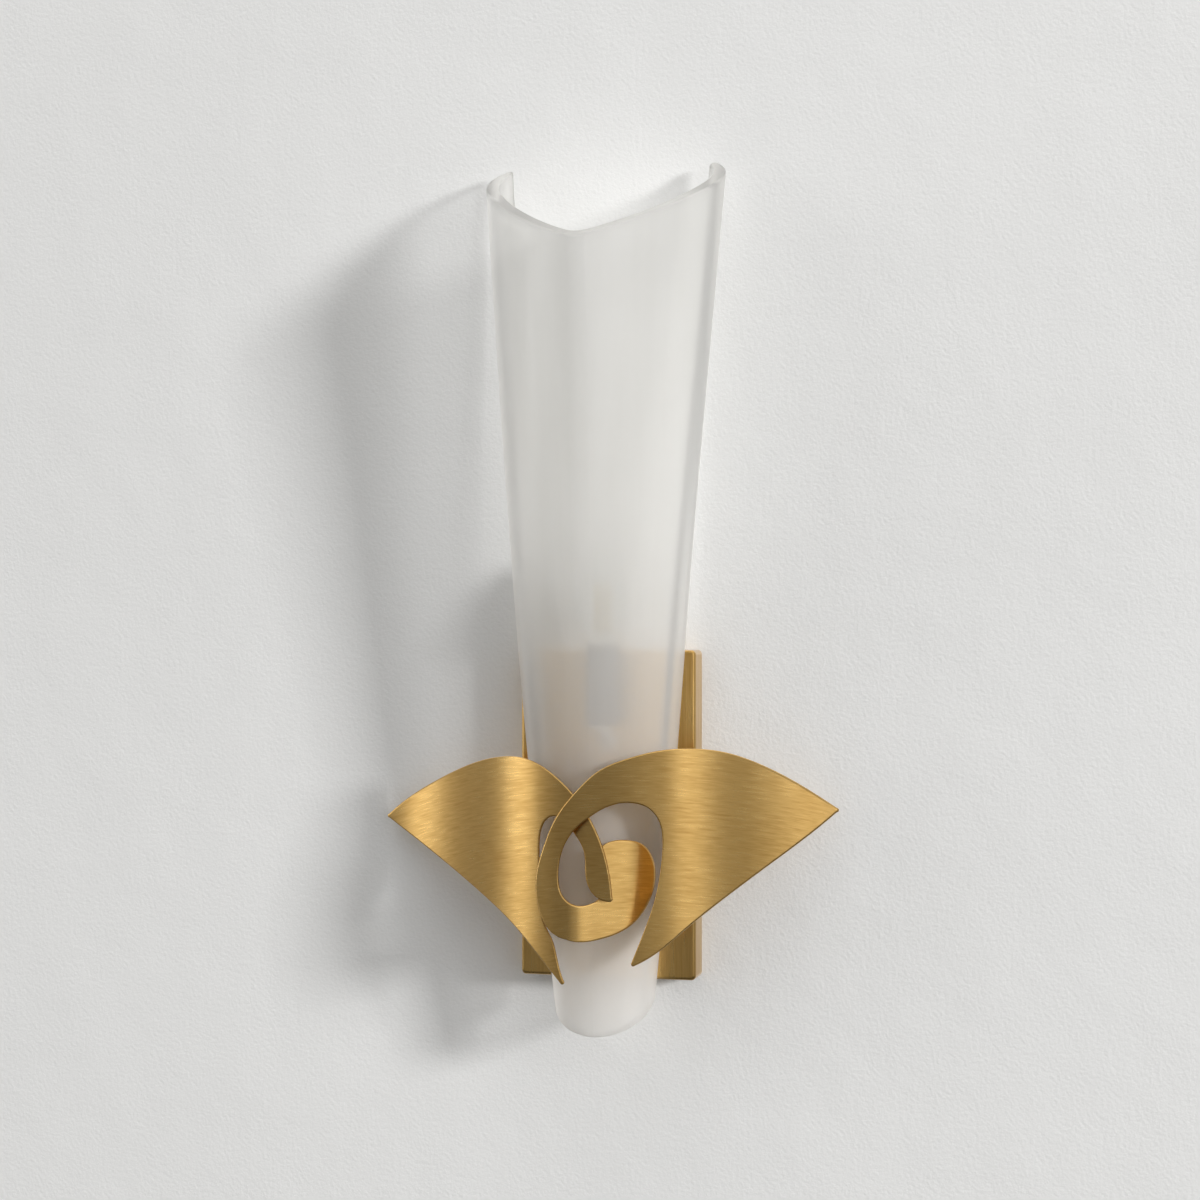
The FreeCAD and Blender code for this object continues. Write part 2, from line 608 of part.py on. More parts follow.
def cap_nut_washer(z):
    return ring(CAP_WASHER_RADIUS, STUD_RADIUS + SCREW_PLAY, 0, z, PLATE_DEPTH, PLATE_DEPTH + CAP_WASHER_THICK)


def plate_screw(x, z, reach=SCREW_REACH):
    return pan_screw(x, z, PLATE_INSIDE - WASHER_THICK, PLATE_DEPTH + reach)


def plate_washer(x, z):
    return ring(WASHER_RADIUS, SCREW_RADIUS + SCREW_PLAY, x, z, PLATE_INSIDE - WASHER_THICK, PLATE_INSIDE)


# ---------------------------------------------------------------- lamp holder
def holder_bracket():
    half = HOLDER_BRACKET_WIDTH / 2
    under = SHELF_Z - HOLDER_BRACKET_THICK
    foot = block(-half, half, PLATE_DEPTH, PLATE_DEPTH + HOLDER_BRACKET_THICK, under, SHELF_Z + HOLDER_FOOT_HEIGHT)
    shelf = block(-half, half, PLATE_DEPTH, LAMP_DEPTH + HOLDER_SHELF_END, under, SHELF_Z)
    bracket = foot.fuse(shelf).removeSplitter()
    screw_z = SHELF_Z + HOLDER_SCREW_RISE
    bracket = bracket.cut(rod(SCREW_RADIUS + THREAD_PLAY, 0, screw_z, PLATE_DEPTH, PLATE_DEPTH + HOLDER_BRACKET_THICK))
    return bracket.cut(pillar(NIPPLE_RADIUS + THREAD_PLAY, under, SHELF_Z))


def holder_nipple():
    low = SHELF_Z - NIPPLE_BELOW
    high = SHELF_Z + NIPPLE_ABOVE
    return pillar(NIPPLE_RADIUS, low, high).cut(pillar(NIPPLE_BORE, low, high))


def nipple_nut():
    top = SHELF_Z - HOLDER_BRACKET_THICK
    low = top - NIPPLE_NUT_HEIGHT
    radius = NIPPLE_NUT_FLATS / math.sqrt(3)
    corners = [
        at(radius * math.cos(math.radians(60 * i)), LAMP_DEPTH + radius * math.sin(math.radians(60 * i)), low)
        for i in range(7)
    ]
    nut = Part.Face(Part.makePolygon(corners)).extrude(Vector(0, 0, NIPPLE_NUT_HEIGHT))
    return nut.cut(pillar(NIPPLE_RADIUS + THREAD_PLAY, low, top))


def holder_body():
    body = pillar(HOLDER_RADIUS, SHELF_Z, SHELF_Z + HOLDER_HEIGHT)
    body = body.cut(pillar(NIPPLE_RADIUS + THREAD_PLAY, SHELF_Z, SHELF_Z + NIPPLE_ABOVE))
    body = body.cut(pillar(NIPPLE_BORE, SHELF_Z, SHELF_Z + HOLDER_HOLLOW))
    return body.cut(pillar(SHELL_RADIUS + THREAD_PLAY, SHELF_Z + HOLDER_FLOOR, SHELF_Z + HOLDER_HEIGHT))


def holder_shell():
    low = SHELF_Z + HOLDER_FLOOR
    high = SHELF_Z + HOLDER_HEIGHT - SHELL_SHORT
    return pillar(SHELL_RADIUS, low, high).cut(pillar(SHELL_BORE, low, high))


def holder_contact():
    low = SHELF_Z + HOLDER_FLOOR
    top = low + CONTACT_THICK
    return pillar(CONTACT_RADIUS, low, top).fuse(pillar(CONTACT_BUMP_RADIUS, top, top + CONTACT_BUMP_HEIGHT))


def holder_sleeve():
    bore = HOLDER_RADIUS + SLEEVE_PLAY
    high = SHELF_Z + SLEEVE_HEIGHT
    return pillar(bore + SLEEVE_WALL, SHELF_Z, high).cut(pillar(bore, SHELF_Z, high))


# ---------------------------------------------------------------- bulb
def turned(points):
    """Solid of revolution about the lamp's axis, from a closed wire of edges in the plane X, Z."""
    face = Part.Face(Part.Wire(points))
    return face.revolve(at(0, LAMP_DEPTH, 0), Vector(0, 0, 1), 360)


def lamp_point(radius, z):
    return at(radius, LAMP_DEPTH, z)


def bulb_cap():
    """Screw cap with its rolled thread as rounded ridges."""
    root = BULB_CAP_RADIUS - BULB_THREAD_DEPTH
    start = BULB_CAP_Z + BULB_THREAD_PITCH / 2
    end = start + BULB_THREADS * BULB_THREAD_PITCH
    inner = root - BULB_CAP_WALL
    edges = [
        Part.LineSegment(lamp_point(inner, BULB_CAP_Z), lamp_point(root, BULB_CAP_Z)).toShape(),
        Part.LineSegment(lamp_point(root, BULB_CAP_Z), lamp_point(root, start)).toShape(),
    ]
    for i in range(BULB_THREADS):
        low = start + i * BULB_THREAD_PITCH
        crest = lamp_point(BULB_CAP_RADIUS, low + BULB_THREAD_PITCH / 2)
        edges.append(Part.Arc(lamp_point(root, low), crest, lamp_point(root, low + BULB_THREAD_PITCH)).toShape())
    corners = [
        lamp_point(root, end),
        lamp_point(root, BULB_CAP_TOP),
        lamp_point(inner, BULB_CAP_TOP),
        lamp_point(inner, BULB_CAP_Z),
    ]
    edges += [Part.LineSegment(a, b).toShape() for a, b in zip(corners, corners[1:])]
    return turned(edges)


def bulb_insulator():
    low = BULB_BOTTOM + BULB_TIP_HEIGHT
    narrow = pillar(INSULATOR_RADIUS, low, BULB_CAP_Z)
    plug = pillar(BULB_CAP_RADIUS - BULB_THREAD_DEPTH - BULB_CAP_WALL, BULB_CAP_Z, BULB_CAP_Z + INSULATOR_HEIGHT)
    return narrow.fuse(plug)


def bulb_contact():
    return pillar(BULB_TIP_RADIUS, BULB_BOTTOM, BULB_BOTTOM + BULB_TIP_HEIGHT)


def bulb_envelope():
    neck = BULB_CAP_RADIUS - BULB_THREAD_DEPTH - BULB_CAP_WALL
    low = BULB_CAP_TOP - BULB_SEAT
    top = BULB_CAP_TOP + BULB_TOP

    def profile(inset, crown):
        points = [lamp_point(neck - inset, BULB_CAP_TOP)]
        points += [lamp_point(r - inset, BULB_CAP_TOP + h) for r, h in BULB_PROFILE]
        points.append(lamp_point(0, crown))
        return spline(points, Vector(BULB_NECK_FLARE, 0, 1), Vector(-1, 0, 0))

    outside = profile(0, top)
    inside = profile(BULB_WALL, top - BULB_WALL)
    edges = [
        Part.LineSegment(lamp_point(neck, low), lamp_point(neck, BULB_CAP_TOP)).toShape(),
        outside.toShape(),
        Part.LineSegment(lamp_point(0, top), lamp_point(0, top - BULB_WALL)).toShape(),
        inside.toShape(),
        Part.LineSegment(lamp_point(neck - BULB_WALL, BULB_CAP_TOP), lamp_point(neck - BULB_WALL, low)).toShape(),
        Part.LineSegment(lamp_point(neck - BULB_WALL, low), lamp_point(neck, low)).toShape(),
    ]
    return turned(edges)


def bulb_stem():
    low = BULB_CAP_Z + INSULATOR_HEIGHT
    return pillar(BULB_STEM_RADIUS, low, BULB_CAP_TOP + BULB_STEM_HEIGHT)


def bulb_filaments():
    """Light bars that stand round the stem on a common disc."""
    low = BULB_CAP_TOP + BULB_STEM_HEIGHT
    plate = pillar(FILAMENT_CIRCLE + 2 * FILAMENT_RADIUS, low, low + FILAMENT_RADIUS)
    for i in range(FILAMENT_COUNT):
        turn = 2 * math.pi * (i + 0.5) / FILAMENT_COUNT
        x = FILAMENT_CIRCLE * math.cos(turn)
        depth = LAMP_DEPTH + FILAMENT_CIRCLE * math.sin(turn)
        plate = plate.fuse(pillar(FILAMENT_RADIUS, low, low + FILAMENT_LENGTH, depth, x))
    return plate


# ---------------------------------------------------------------- wiring
def bent_path(points, arc):
    """Straight runs through the points, joined by arcs of at least the given radius on the inside."""
    edges = []
    last = points[0]
    for before, corner, after in zip(points, points[1:], points[2:]):
        into = (corner - before).normalize()
        out = (after - corner).normalize()
        half_turn = into.getAngle(out) / 2
        trim = arc * math.tan(half_turn)
        start = corner - into * trim
        end = corner + out * trim
        middle = corner + (out - into).normalize() * (arc / math.cos(half_turn) - arc)
        edges.append(Part.LineSegment(last, start).toShape())
        edges.append(Part.Arc(start, middle, end).toShape())
        last = end
    edges.append(Part.LineSegment(last, points[-1]).toShape())
    return Part.Wire(edges)


def tube(path, radius):
    first = path.Edges[0]
    start = first.valueAt(first.FirstParameter)
    along = first.tangentAt(first.FirstParameter)
    profile = Part.Wire(Part.makeCircle(radius, start, along))
    return path.makePipeShell([profile], True, True)


def lamp_lead(name):
    """From the holder down its nipple, through the grommet and along to the terminal block."""
    height = LEAD_HEIGHTS[name]
    side = math.copysign(LEAD_PITCH / 2, GROMMET_Z - height)
    top = SHELF_Z + HOLDER_HOLLOW - LEAD_RADIUS
    points = [
        at(0, LAMP_DEPTH + side, top),
        at(0, LAMP_DEPTH + side, height),
        at(0, LEAD_DEPTH, height),
        at(BLOCK_X + LEAD_ENTRY - LEAD_RADIUS, LEAD_DEPTH, height),
    ]
    return tube(bent_path(points, LEAD_ARC), LEAD_RADIUS)


def ground_lead():
    """From the block's third pole to a ring under the ground screw."""
    low = BRACKET_THICK + LEAD_RADIUS
    turn_x = BLOCK_X - LEAD_ARC
    points = [
        at(BLOCK_X + LEAD_ENTRY - LEAD_RADIUS, LEAD_DEPTH, GROUND_POLE_Z),
        at(turn_x, LEAD_DEPTH, GROUND_POLE_Z),
        at(turn_x, low, GROUND_SCREW_Z + RING_RADIUS + LEAD_ARC),
        at(RING_RADIUS / 2, low, GROUND_SCREW_Z + RING_RADIUS * RING_JOIN),
    ]
    bore = GROUND_SCREW_RADIUS + THREAD_PLAY
    ring_top = BRACKET_THICK + RING_THICK
    lug = ring(RING_RADIUS, bore, 0, GROUND_SCREW_Z, BRACKET_THICK, ring_top)
    head_room = rod(GROUND_HEAD_RADIUS, 0, GROUND_SCREW_Z, ring_top, PLATE_INSIDE)
    wire = tube(bent_path(points, LEAD_ARC / 2), LEAD_RADIUS)
    return wire.cut(head_room).fuse(lug)


def ground_screw():
    seat = BRACKET_THICK + RING_THICK
    return pan_screw(
        0, GROUND_SCREW_Z, seat, THREAD_PLAY, GROUND_SCREW_RADIUS, GROUND_HEAD_RADIUS, GROUND_HEAD_HEIGHT
    )


def grommet():
    near = PLATE_INSIDE - GROMMET_LIP
    far = PLATE_DEPTH + GROMMET_LIP
    flanges = rod(GROMMET_FLANGE, 0, GROMMET_Z, near, PLATE_INSIDE).fuse(
        rod(GROMMET_FLANGE, 0, GROMMET_Z, PLATE_DEPTH, far)
    )
    waist = rod(GROMMET_WAIST, 0, GROMMET_Z, near, far)
    return flanges.fuse(waist).removeSplitter().cut(rod(GROMMET_BORE, 0, GROMMET_Z, near, far))


def terminal_block():
    near = PLATE_INSIDE - BLOCK_THICK
    low = min(BLOCK_POLES) - BLOCK_MARGIN
    high = max(BLOCK_POLES) + BLOCK_MARGIN
    body = block(BLOCK_X, BLOCK_X + BLOCK_WIDTH, near, PLATE_INSIDE, low, high)
    for z in BLOCK_POLES:
        entry = Part.makeCylinder(
            LEAD_RADIUS + LEAD_BORE_PLAY, LEAD_ENTRY, at(BLOCK_X, LEAD_DEPTH, z), Vector(1, 0, 0)
        )
        screw_hole = rod(TERMINAL_SCREW_RADIUS + THREAD_PLAY, BLOCK_X + TERMINAL_SCREW_IN, z, near, LEAD_DEPTH)
        body = body.cut(entry).cut(screw_hole)
    return body


def terminal_screw(z):
    near = PLATE_INSIDE - BLOCK_THICK - TERMINAL_SCREW_PROUD
    return rod(TERMINAL_SCREW_RADIUS, BLOCK_X + TERMINAL_SCREW_IN, z, near, LEAD_DEPTH - LEAD_RADIUS)


# ---------------------------------------------------------------- assembly
def main():
    os.makedirs("parts", exist_ok=True)
    studs = (STUD_SPACING / 2, -STUD_SPACING / 2)
    posts = list(GLASS_POSTS.values())

    save("wall_bracket", wall_bracket())
    save("bracket_studs", *[bracket_stud(z) for z in studs])
    save("stud_lock_nuts", *[stud_lock_nut(z) for z in studs])
    save("backplate", backplate())
    save("cap_nut_washers", *[cap_nut_washer(z) for z in studs])
    save("cap_nuts", *[cap_nut(z) for z in studs])
    save("ground_screw", ground_screw())

    shell = shade_shell()
    save("glass_shade", glass_shade(shell))
    for name, z in GLASS_POSTS.items():
        save(name + "_glass_post", glass_post(z))
    save("glass_post_screws", *[plate_screw(0, z) for z in posts])
    save("glass_post_washers", *[plate_washer(0, z) for z in posts])
    save("inner_gaskets", *[inner_gasket(z, shell) for z in posts])
    save("outer_gaskets", *[outer_gasket(z, shell) for z in posts])
    save("glass_bushes", *[glass_bush(z, shell) for z in posts])
    save("clamp_washers", *[clamp_washer(z) for z in posts])
    save("glass_screws", *[glass_screw(z) for z in posts])

    save("scroll_fin", scroll_fin())
    save("horn_fin", horn_fin())
    save("right_fin_post", fin_post(FIN_POST_X, SCROLL_SWEEP, SCROLL_CREST))
    save("left_fin_post", fin_post(-FIN_POST_X, HORN_SWEEP, HORN_CREST))
    save("fin_post_screws", *[plate_screw(x, FIN_POST_Z) for x in FIN_POSTS.values()])
    save("fin_post_washers", *[plate_washer(x, FIN_POST_Z) for x in FIN_POSTS.values()])
    save("link_spacer", link_spacer())

    save("holder_bracket", holder_bracket())
    save("holder_bracket_screw", plate_screw(0, SHELF_Z + HOLDER_SCREW_RISE, HOLDER_BRACKET_THICK))
    save("holder_bracket_washer", plate_washer(0, SHELF_Z + HOLDER_SCREW_RISE))
    save("holder_nipple", holder_nipple())
    save("nipple_nut", nipple_nut())
    save("holder_body", holder_body())
    save("holder_shell", holder_shell())
    save("holder_contact", holder_contact())
    save("holder_sleeve", holder_sleeve())

    save("bulb_contact", bulb_contact())
    save("bulb_insulator", bulb_insulator())
    save("bulb_cap", bulb_cap())
    save("bulb_envelope", bulb_envelope())
    save("bulb_stem", bulb_stem())
    save("bulb_filaments", bulb_filaments())

    save("lead_grommet", grommet())
    save("terminal_block", terminal_block())
    save("terminal_screws", *[terminal_screw(z) for z in BLOCK_POLES])
    save("line_lead", lamp_lead("line"))
    save("neutral_lead", lamp_lead("neutral"))
    save("ground_lead", ground_lead())


main()
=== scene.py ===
import json
import math

import bmesh
import bpy
import numpy as np
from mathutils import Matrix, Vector

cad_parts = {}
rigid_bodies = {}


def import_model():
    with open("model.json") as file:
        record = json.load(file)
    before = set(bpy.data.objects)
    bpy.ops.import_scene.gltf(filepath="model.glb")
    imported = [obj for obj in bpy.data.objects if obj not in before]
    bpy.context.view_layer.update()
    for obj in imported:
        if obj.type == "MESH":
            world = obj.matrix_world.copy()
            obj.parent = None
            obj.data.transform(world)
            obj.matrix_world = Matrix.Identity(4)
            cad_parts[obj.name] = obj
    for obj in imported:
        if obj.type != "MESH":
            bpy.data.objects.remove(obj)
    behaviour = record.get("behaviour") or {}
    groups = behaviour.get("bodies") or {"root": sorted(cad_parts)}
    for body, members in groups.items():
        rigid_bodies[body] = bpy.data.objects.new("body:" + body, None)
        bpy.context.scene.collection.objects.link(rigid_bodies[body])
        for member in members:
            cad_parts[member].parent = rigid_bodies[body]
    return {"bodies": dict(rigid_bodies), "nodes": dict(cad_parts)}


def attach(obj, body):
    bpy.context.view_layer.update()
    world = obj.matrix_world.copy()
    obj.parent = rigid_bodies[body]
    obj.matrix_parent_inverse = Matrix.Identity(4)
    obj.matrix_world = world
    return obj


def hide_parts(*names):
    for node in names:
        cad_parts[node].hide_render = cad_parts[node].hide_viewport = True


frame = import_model()
own = set(frame["nodes"].values()) | set(frame["bodies"].values())
for stray in [o for o in bpy.data.objects if o not in own]:
    bpy.data.objects.remove(stray)
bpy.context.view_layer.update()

MM = 0.001
scene = bpy.context.scene

# ------------------------------------------------------------------ sizes of the glass, in mm
SHADE_WALL = 6.5             # across the front
SHADE_SIDE_WALL = 9.0        # at the widest place, where the glass is bent round
SHADE_LIP = 6.0              # at the rear lip
SHADE_FOOT_Z = -137.5        # lowest point, at the front of the foot
SHADE_RIM_Z = 357.4          # front of the rim, where the crease ends
SHADE_FOOT_FRONT = 57.0      # depth of the front at the foot
SHADE_RIM_FRONT = 107.5      # depth of the crease at the rim
SHADE_CUT_ANGLE = 31.0       # both ends are cut on planes that fall towards the front
FOLD_ANGLE = 28.0            # how far each half of the front turns back beside a full crease
ROUND_HANDLE = 0.5523        # handle length that makes a cubic follow a quarter circle
FOLD_HANDLE = 0.375          # handle at the crease, as a share of the half width
FOLD_SIDE_HANDLE = 0.224     # handle at the side, as a share of the depth in front of it
LIP_HANDLE = 0.385           # handles of the rear curve, as a share of its chord

# Sections from the foot up: height, half width, depth at the widest place, half width and depth of the rear
# lip, the lip's inward curl in degrees, and how far the front is folded (0 is round, 1 is a full crease).
SHADE_SECTIONS = [
    (-165.0, 27.3, 25.5, 27.3, 22.4, 0.0, 0.0),
    (-60.0, 37.8, 31.0, 37.6, 22.6, 4.0, 0.0),
    (30.0, 46.5, 37.5, 45.4, 22.4, 14.0, 0.1),
    (130.0, 55.0, 40.0, 52.0, 21.2, 26.0, 0.35),
    (250.0, 65.3, 36.5, 58.5, 16.2, 38.0, 0.7),
    (350.0, 73.7, 31.5, 64.5, 11.2, 46.0, 0.9),
    (440.0, 81.2, 27.0, 69.8, 7.0, 50.0, 1.0),
]
RIM_ROUNDING = 1.5
LIP_ROUNDING = 2.4
CREASE_ROUNDING = 12.0       # scaled by the fold: about 7 is left at most, and 6 at a full crease

# ------------------------------------------------------------------ sizes of the fins, in mm
SHEET = 2.5
FIN_ROUNDING = 1.0
HORN_CREST = 80.736
SCROLL_CREST = 85.236
FIN_SEAM_X = -10.0           # the scroll's crest, where its inner end leaves the upper band's sweep

# Seen from above: how far each fin has dropped back from its crest at each X.
SCROLL_SWEEP = [(-34, 4.3), (-10, 0), (12, 1.2), (35, 5.0), (63, 15.8), (99, 39.8), (125, 56.3), (152, 69.3)]
INNER_SWEEP = [(-10, 0), (0, 3.2), (9, 8.6), (16, 12.6), (28, 19.5), (41, 29.5), (47, 34.5)]
HORN_SWEEP = [(-155, 71.5), (-112, 54.8), (-79, 33.8), (-43, 11.8), (-15, 2.6), (5, 0.3), (20, 0)]

# Seen from the front: the runs of each outline as X and Z, which meet in corners.
SCROLL_OUTER = [
    (147.5, 6.5), (126, 21.5), (103, 35), (81, 43.5), (64, 45.5), (47, 44.5), (29, 40), (11, 32.5),
    (-5, 18), (-18, 1), (-25, -14.5), (-30, -30.5), (-31, -40), (-30, -49), (-24.5, -63.5), (-10, -72.5),
]
SCROLL_HOLE = [
    (-10, -48.3), (-13.5, -43.5), (-15.2, -37), (-15.3, -31), (-12.5, -17), (-6, -6), (3.6, 2.5),
    (17.3, 10.4), (29.3, 12.3), (40, 9.2), (46, 2), (48.5, -14), (47.7, -26), (44, -47), (38, -65.5),
    (30, -86.3),
]
SCROLL_LOWER = [
    (32.3, -87.6), (47, -78.6), (61.5, -66), (81, -49.6), (103, -32.2), (126, -14.4), (147.3, 3.6),
]
SCROLL_TIP = (148.7, 5)
SCROLL_POINT = (30.4, -87.6)
INNER_OUTER = [
    (-10, -72.5), (-1.8, -74.1), (9.8, -72.7), (26.4, -64.9), (36, -51.3), (39.6, -36), (38.8, -26),
    (36.5, -19.7), (31.7, -14.1), (24.2, -11.8), (15, -12.4), (9.5, -16), (8, -24), (8.7, -35),
    (9.5, -42), (8.7, -47.2), (4.1, -50.4), (-1.8, -51.6), (-6.7, -50.4), (-10, -48.3),
]
HORN_UPPER = [
    (-151.6, -4.2), (-135, 8.1), (-111, 21.1), (-94, 28.6), (-77, 34.5), (-60.5, 38), (-45, 38.5),
    (-30.5, 34.4), (-17.1, 25.9), (-8.4, 18), (3.4, 2.4), (11.8, -15.3), (16.2, -32.4), (17.8, -46),
]
HORN_TAIL_TIP = (17, -48.8)
HORN_INNER = [
    (15.3, -48.8), (10, -47.6), (5, -43.8), (1.2, -35.8), (0.5, -26.6), (-0.7, -17.4), (-7.3, -6.5),
    (-14, 0.5), (-20.8, 2.7), (-26.4, -0.5), (-29.2, -6.2), (-30.5, -20), (-29.5, -45), (-25.7, -67),
    (-22, -73), (-18.7, -83), (-13.3, -99.8),
]
HORN_POINT = (-14.4, -101.3)
HORN_LOWER = [
    (-16, -100.6), (-33.6, -82), (-52.5, -65), (-77, -49.4), (-102.6, -35.3), (-127.2, -21.6), (-151.3, -6.9),
]
HORN_TIP = (-152.8, -5.5)

# ------------------------------------------------------------------ how finely the pieces are drawn
CURVE_STEP = 0.7             # mm between the points of a smooth curve
OUTLINE_STEP = 0.3           # least mm between the points of a fin's outline
NOSE_STEPS = 8
ROUNDING_STEPS = 5
BEND_STEP = 2.0              # mm between the lines on which a fin is bent
SEAM_CLEAR = 0.5             # mm round the seam without a bend line of the even row
SHARPEST = 1.2               # keeps the rounding of a sharp corner short
SHADE_LEVELS = 64
CUT_PASSES = 12
FRONT_POINTS = 20
REAR_POINTS = 13
CREASE_POINTS = 9
LIP_POINTS = 4

# ------------------------------------------------------------------ colours, levels and places of the scene
BRASS = (0.78, 0.510, 0.178)
BRASS_DEEP = (0.57, 0.330, 0.090)
BRUSH_CENTRE = (0.02, -0.42)           # metres; the fins' brush marks run in arcs round it
BRUSH_ALONG = 38.0
BRUSH_ACROSS = 3200.0
UPRIGHT_ALONG = 26.0
UPRIGHT_ACROSS = 2600.0

PAINTED_LIGHT_LOW_Z = -0.02                    # metres; painted light: the glass is painted paler below this height and greyer up to the next, evening out how light falls on it
PAINTED_LIGHT_HIGH_Z = 0.34
# Painted light: each pair is the colour low down, painted paler, then high up, painted greyer; thick and thin
# frost mix at random.
THICK_FROST_PAINTED_LIGHT = ((0.95, 0.945, 0.935), (0.80, 0.797, 0.788))
THIN_FROST_PAINTED_LIGHT = ((0.90, 0.892, 0.876), (0.74, 0.736, 0.722))
CLEARER = (0.28, 0.46, -0.05, 0.03)    # share seen through, low and high, and the heights between
PASSED_SQUARE = 0.86                   # share of a lamp's light that passes a wall met square on
PASSED_LOSS = 1.5
PASSED_LEAST = 0.05

WALL_GAP = 0.0004                      # metres between the backplate and the wall
WALL_SIDE = 2.4
WALL_TOP = 2.4
FLOOR_Z = -1.4
FLOOR_SIDE = 3.4
WALL_PAINT = (0.81, 0.81, 0.80)
FLOOR_PAINT = (0.54, 0.535, 0.525)

ROOM_TINT = (1.0, 0.995, 0.985)
ROOM_LEVEL = 0.23
BEHIND_LEVEL = 0.52                    # added on the wall's side, for the light that a wall throws back
HORIZON_LEVEL = 0.15
HORIZON_REACH = 0.3
CEILING_LEVEL = 1.3
FLOOR_SLOPE = 1.3
FLOOR_DROP = -0.13
WINDOW_FOOT = (-0.2, 0.02)
WINDOW_HEAD = (0.45, 0.7)
BACKGROUND_LEVEL = 0.78                # what the camera sees of the room, straight or refracted in glass
# Windows: middle, half width and softness in degrees of azimuth, and strength. Each has a wide faint one too.
WINDOWS = [
    (46.0, 9.5, 5.5, 1.5), (34.0, 23.0, 12.0, 0.42),
    (-68.0, 9.2, 4.5, 1.9), (-64.0, 18.0, 8.0, 0.42),
]
LAMP_AIM = (0, -0.05, 0.1)

CAMERA_PLACE = (0.3762, -1.5157, 0.1369)
CAMERA_TURN = 14.3
CAMERA_LENS = 72.18


# ------------------------------------------------------------------ curves
def lagrange_slope(t, p, end):
    """Slope of the cubic through the first or last four points, at that end."""
    pick = slice(0, 4) if end == 0 else slice(-4, None)
    ts = t[pick]
    ps = p[pick]
    x = ts[end]
    slope = np.zeros(p.shape[1])
    for i in range(len(ts)):
        others = [k for k in range(len(ts)) if k != i]
        scale = np.prod([ts[i] - ts[k] for k in others])
        total = sum(np.prod([x - ts[k] for k in others if k != m]) for m in others)
        slope += ps[i] * total / scale
    return slope


def smooth(points, start=None, end=None):
    """Dense points on the smooth curve through a few, with its end directions fixed where they are given."""
    p = np.array(points, float)
    gaps = np.linalg.norm(np.diff(p, axis=0), axis=1)
    t = np.concatenate([[0], np.cumsum(gaps)])
    first = np.array(start, float) if start is not None else lagrange_slope(t, p, 0)
    last = np.array(end, float) if end is not None else lagrange_slope(t, p, -1)
    n = len(p)
    a = np.zeros((n, n))
    b = np.zeros((n, p.shape[1]))
    a[0, 0] = a[-1, -1] = 1
    b[0] = first
    b[-1] = last
    for i in range(1, n - 1):
        h0 = gaps[i - 1]
        h1 = gaps[i]
        a[i, i - 1 : i + 2] = (1 / h0, 2 / h0 + 2 / h1, 1 / h1)
        b[i] = 3 * ((p[i] - p[i - 1]) / h0**2 + (p[i + 1] - p[i]) / h1**2)
    m = np.linalg.solve(a, b)
    out = [p[0]]
    for i in range(n - 1):
        h = gaps[i]
        count = max(2, int(math.ceil(h / CURVE_STEP)))
        for k in range(1, count + 1):
            s = k / count
            out.append(
                p[i] * (1 + 2 * s) * (1 - s) ** 2
                + m[i] * h * s * (1 - s) ** 2
                + p[i + 1] * s * s * (3 - 2 * s)
                + m[i + 1] * h * s * s * (s - 1)
            )
    return np.array(out)


def nose(start, middle, end):
    """Points of the small arc through three points, its ends left out."""
    a, b, c = (np.array(q, float) for q in (start, middle, end))
    d = 2 * (a[0] * (b[1] - c[1]) + b[0] * (c[1] - a[1]) + c[0] * (a[1] - b[1]))
    squares = [q.dot(q) for q in (a, b, c)]
    centre = np.array([
        (squares[0] * (b[1] - c[1]) + squares[1] * (c[1] - a[1]) + squares[2] * (a[1] - b[1])) / d,
        (squares[0] * (c[0] - b[0]) + squares[1] * (a[0] - c[0]) + squares[2] * (b[0] - a[0])) / d,
    ])
    angle = [math.atan2(*(q - centre)[::-1]) for q in (a, b, c)]
    turn = (angle[2] - angle[0]) % (2 * math.pi)
    if (angle[1] - angle[0]) % (2 * math.pi) > turn:
        turn -= 2 * math.pi
    radius = np.linalg.norm(a - centre)
    steps = [angle[0] + turn * k / NOSE_STEPS for k in range(1, NOSE_STEPS)]
    return np.array([centre + radius * np.array([math.cos(s), math.sin(s)]) for s in steps])


def plan(sweep, crest):
    """A fin's front as seen from above, as dense X and depth. It runs straight along X at the seam."""
    pts = [(x, crest - drop) for x, drop in sweep]
    seam = [i for i, (x, drop) in enumerate(sweep) if x == FIN_SEAM_X]
    if not seam:
        return smooth(pts)
    i = seam[0]
    right = smooth(pts[i:], start=(1, 0))
    if i == 0:
        return right
    left = smooth(pts[: i + 1], end=(1, 0))
    return np.concatenate([left, right[1:]])


def cubic_at(handles, t):
    """Points of a cubic with four handles."""
    t = np.asarray(t, float)[:, None]
    a, b, c, d = handles
    return a * (1 - t) ** 3 + 3 * b * t * (1 - t) ** 2 + 3 * c * t * t * (1 - t) + d * t**3


def corner(start, middle, end, count):
    """Rounded corner between two points, pulled towards the sharp one; the ends are left out."""
    t = np.linspace(0, 1, count + 2)[1:-1, None]
    return start * (1 - t) ** 2 + 2 * middle * t * (1 - t) + end * t * t


def quarter_rounding(radius):
    """Steps round a quarter circle: how far below the face, and how far in from the side."""
    steps = []
    for k in range(ROUNDING_STEPS + 1):
        phi = math.pi / 2 * k / ROUNDING_STEPS
        steps.append((radius * (1 - math.sin(phi)), radius * (1 - math.cos(phi))))
    return steps


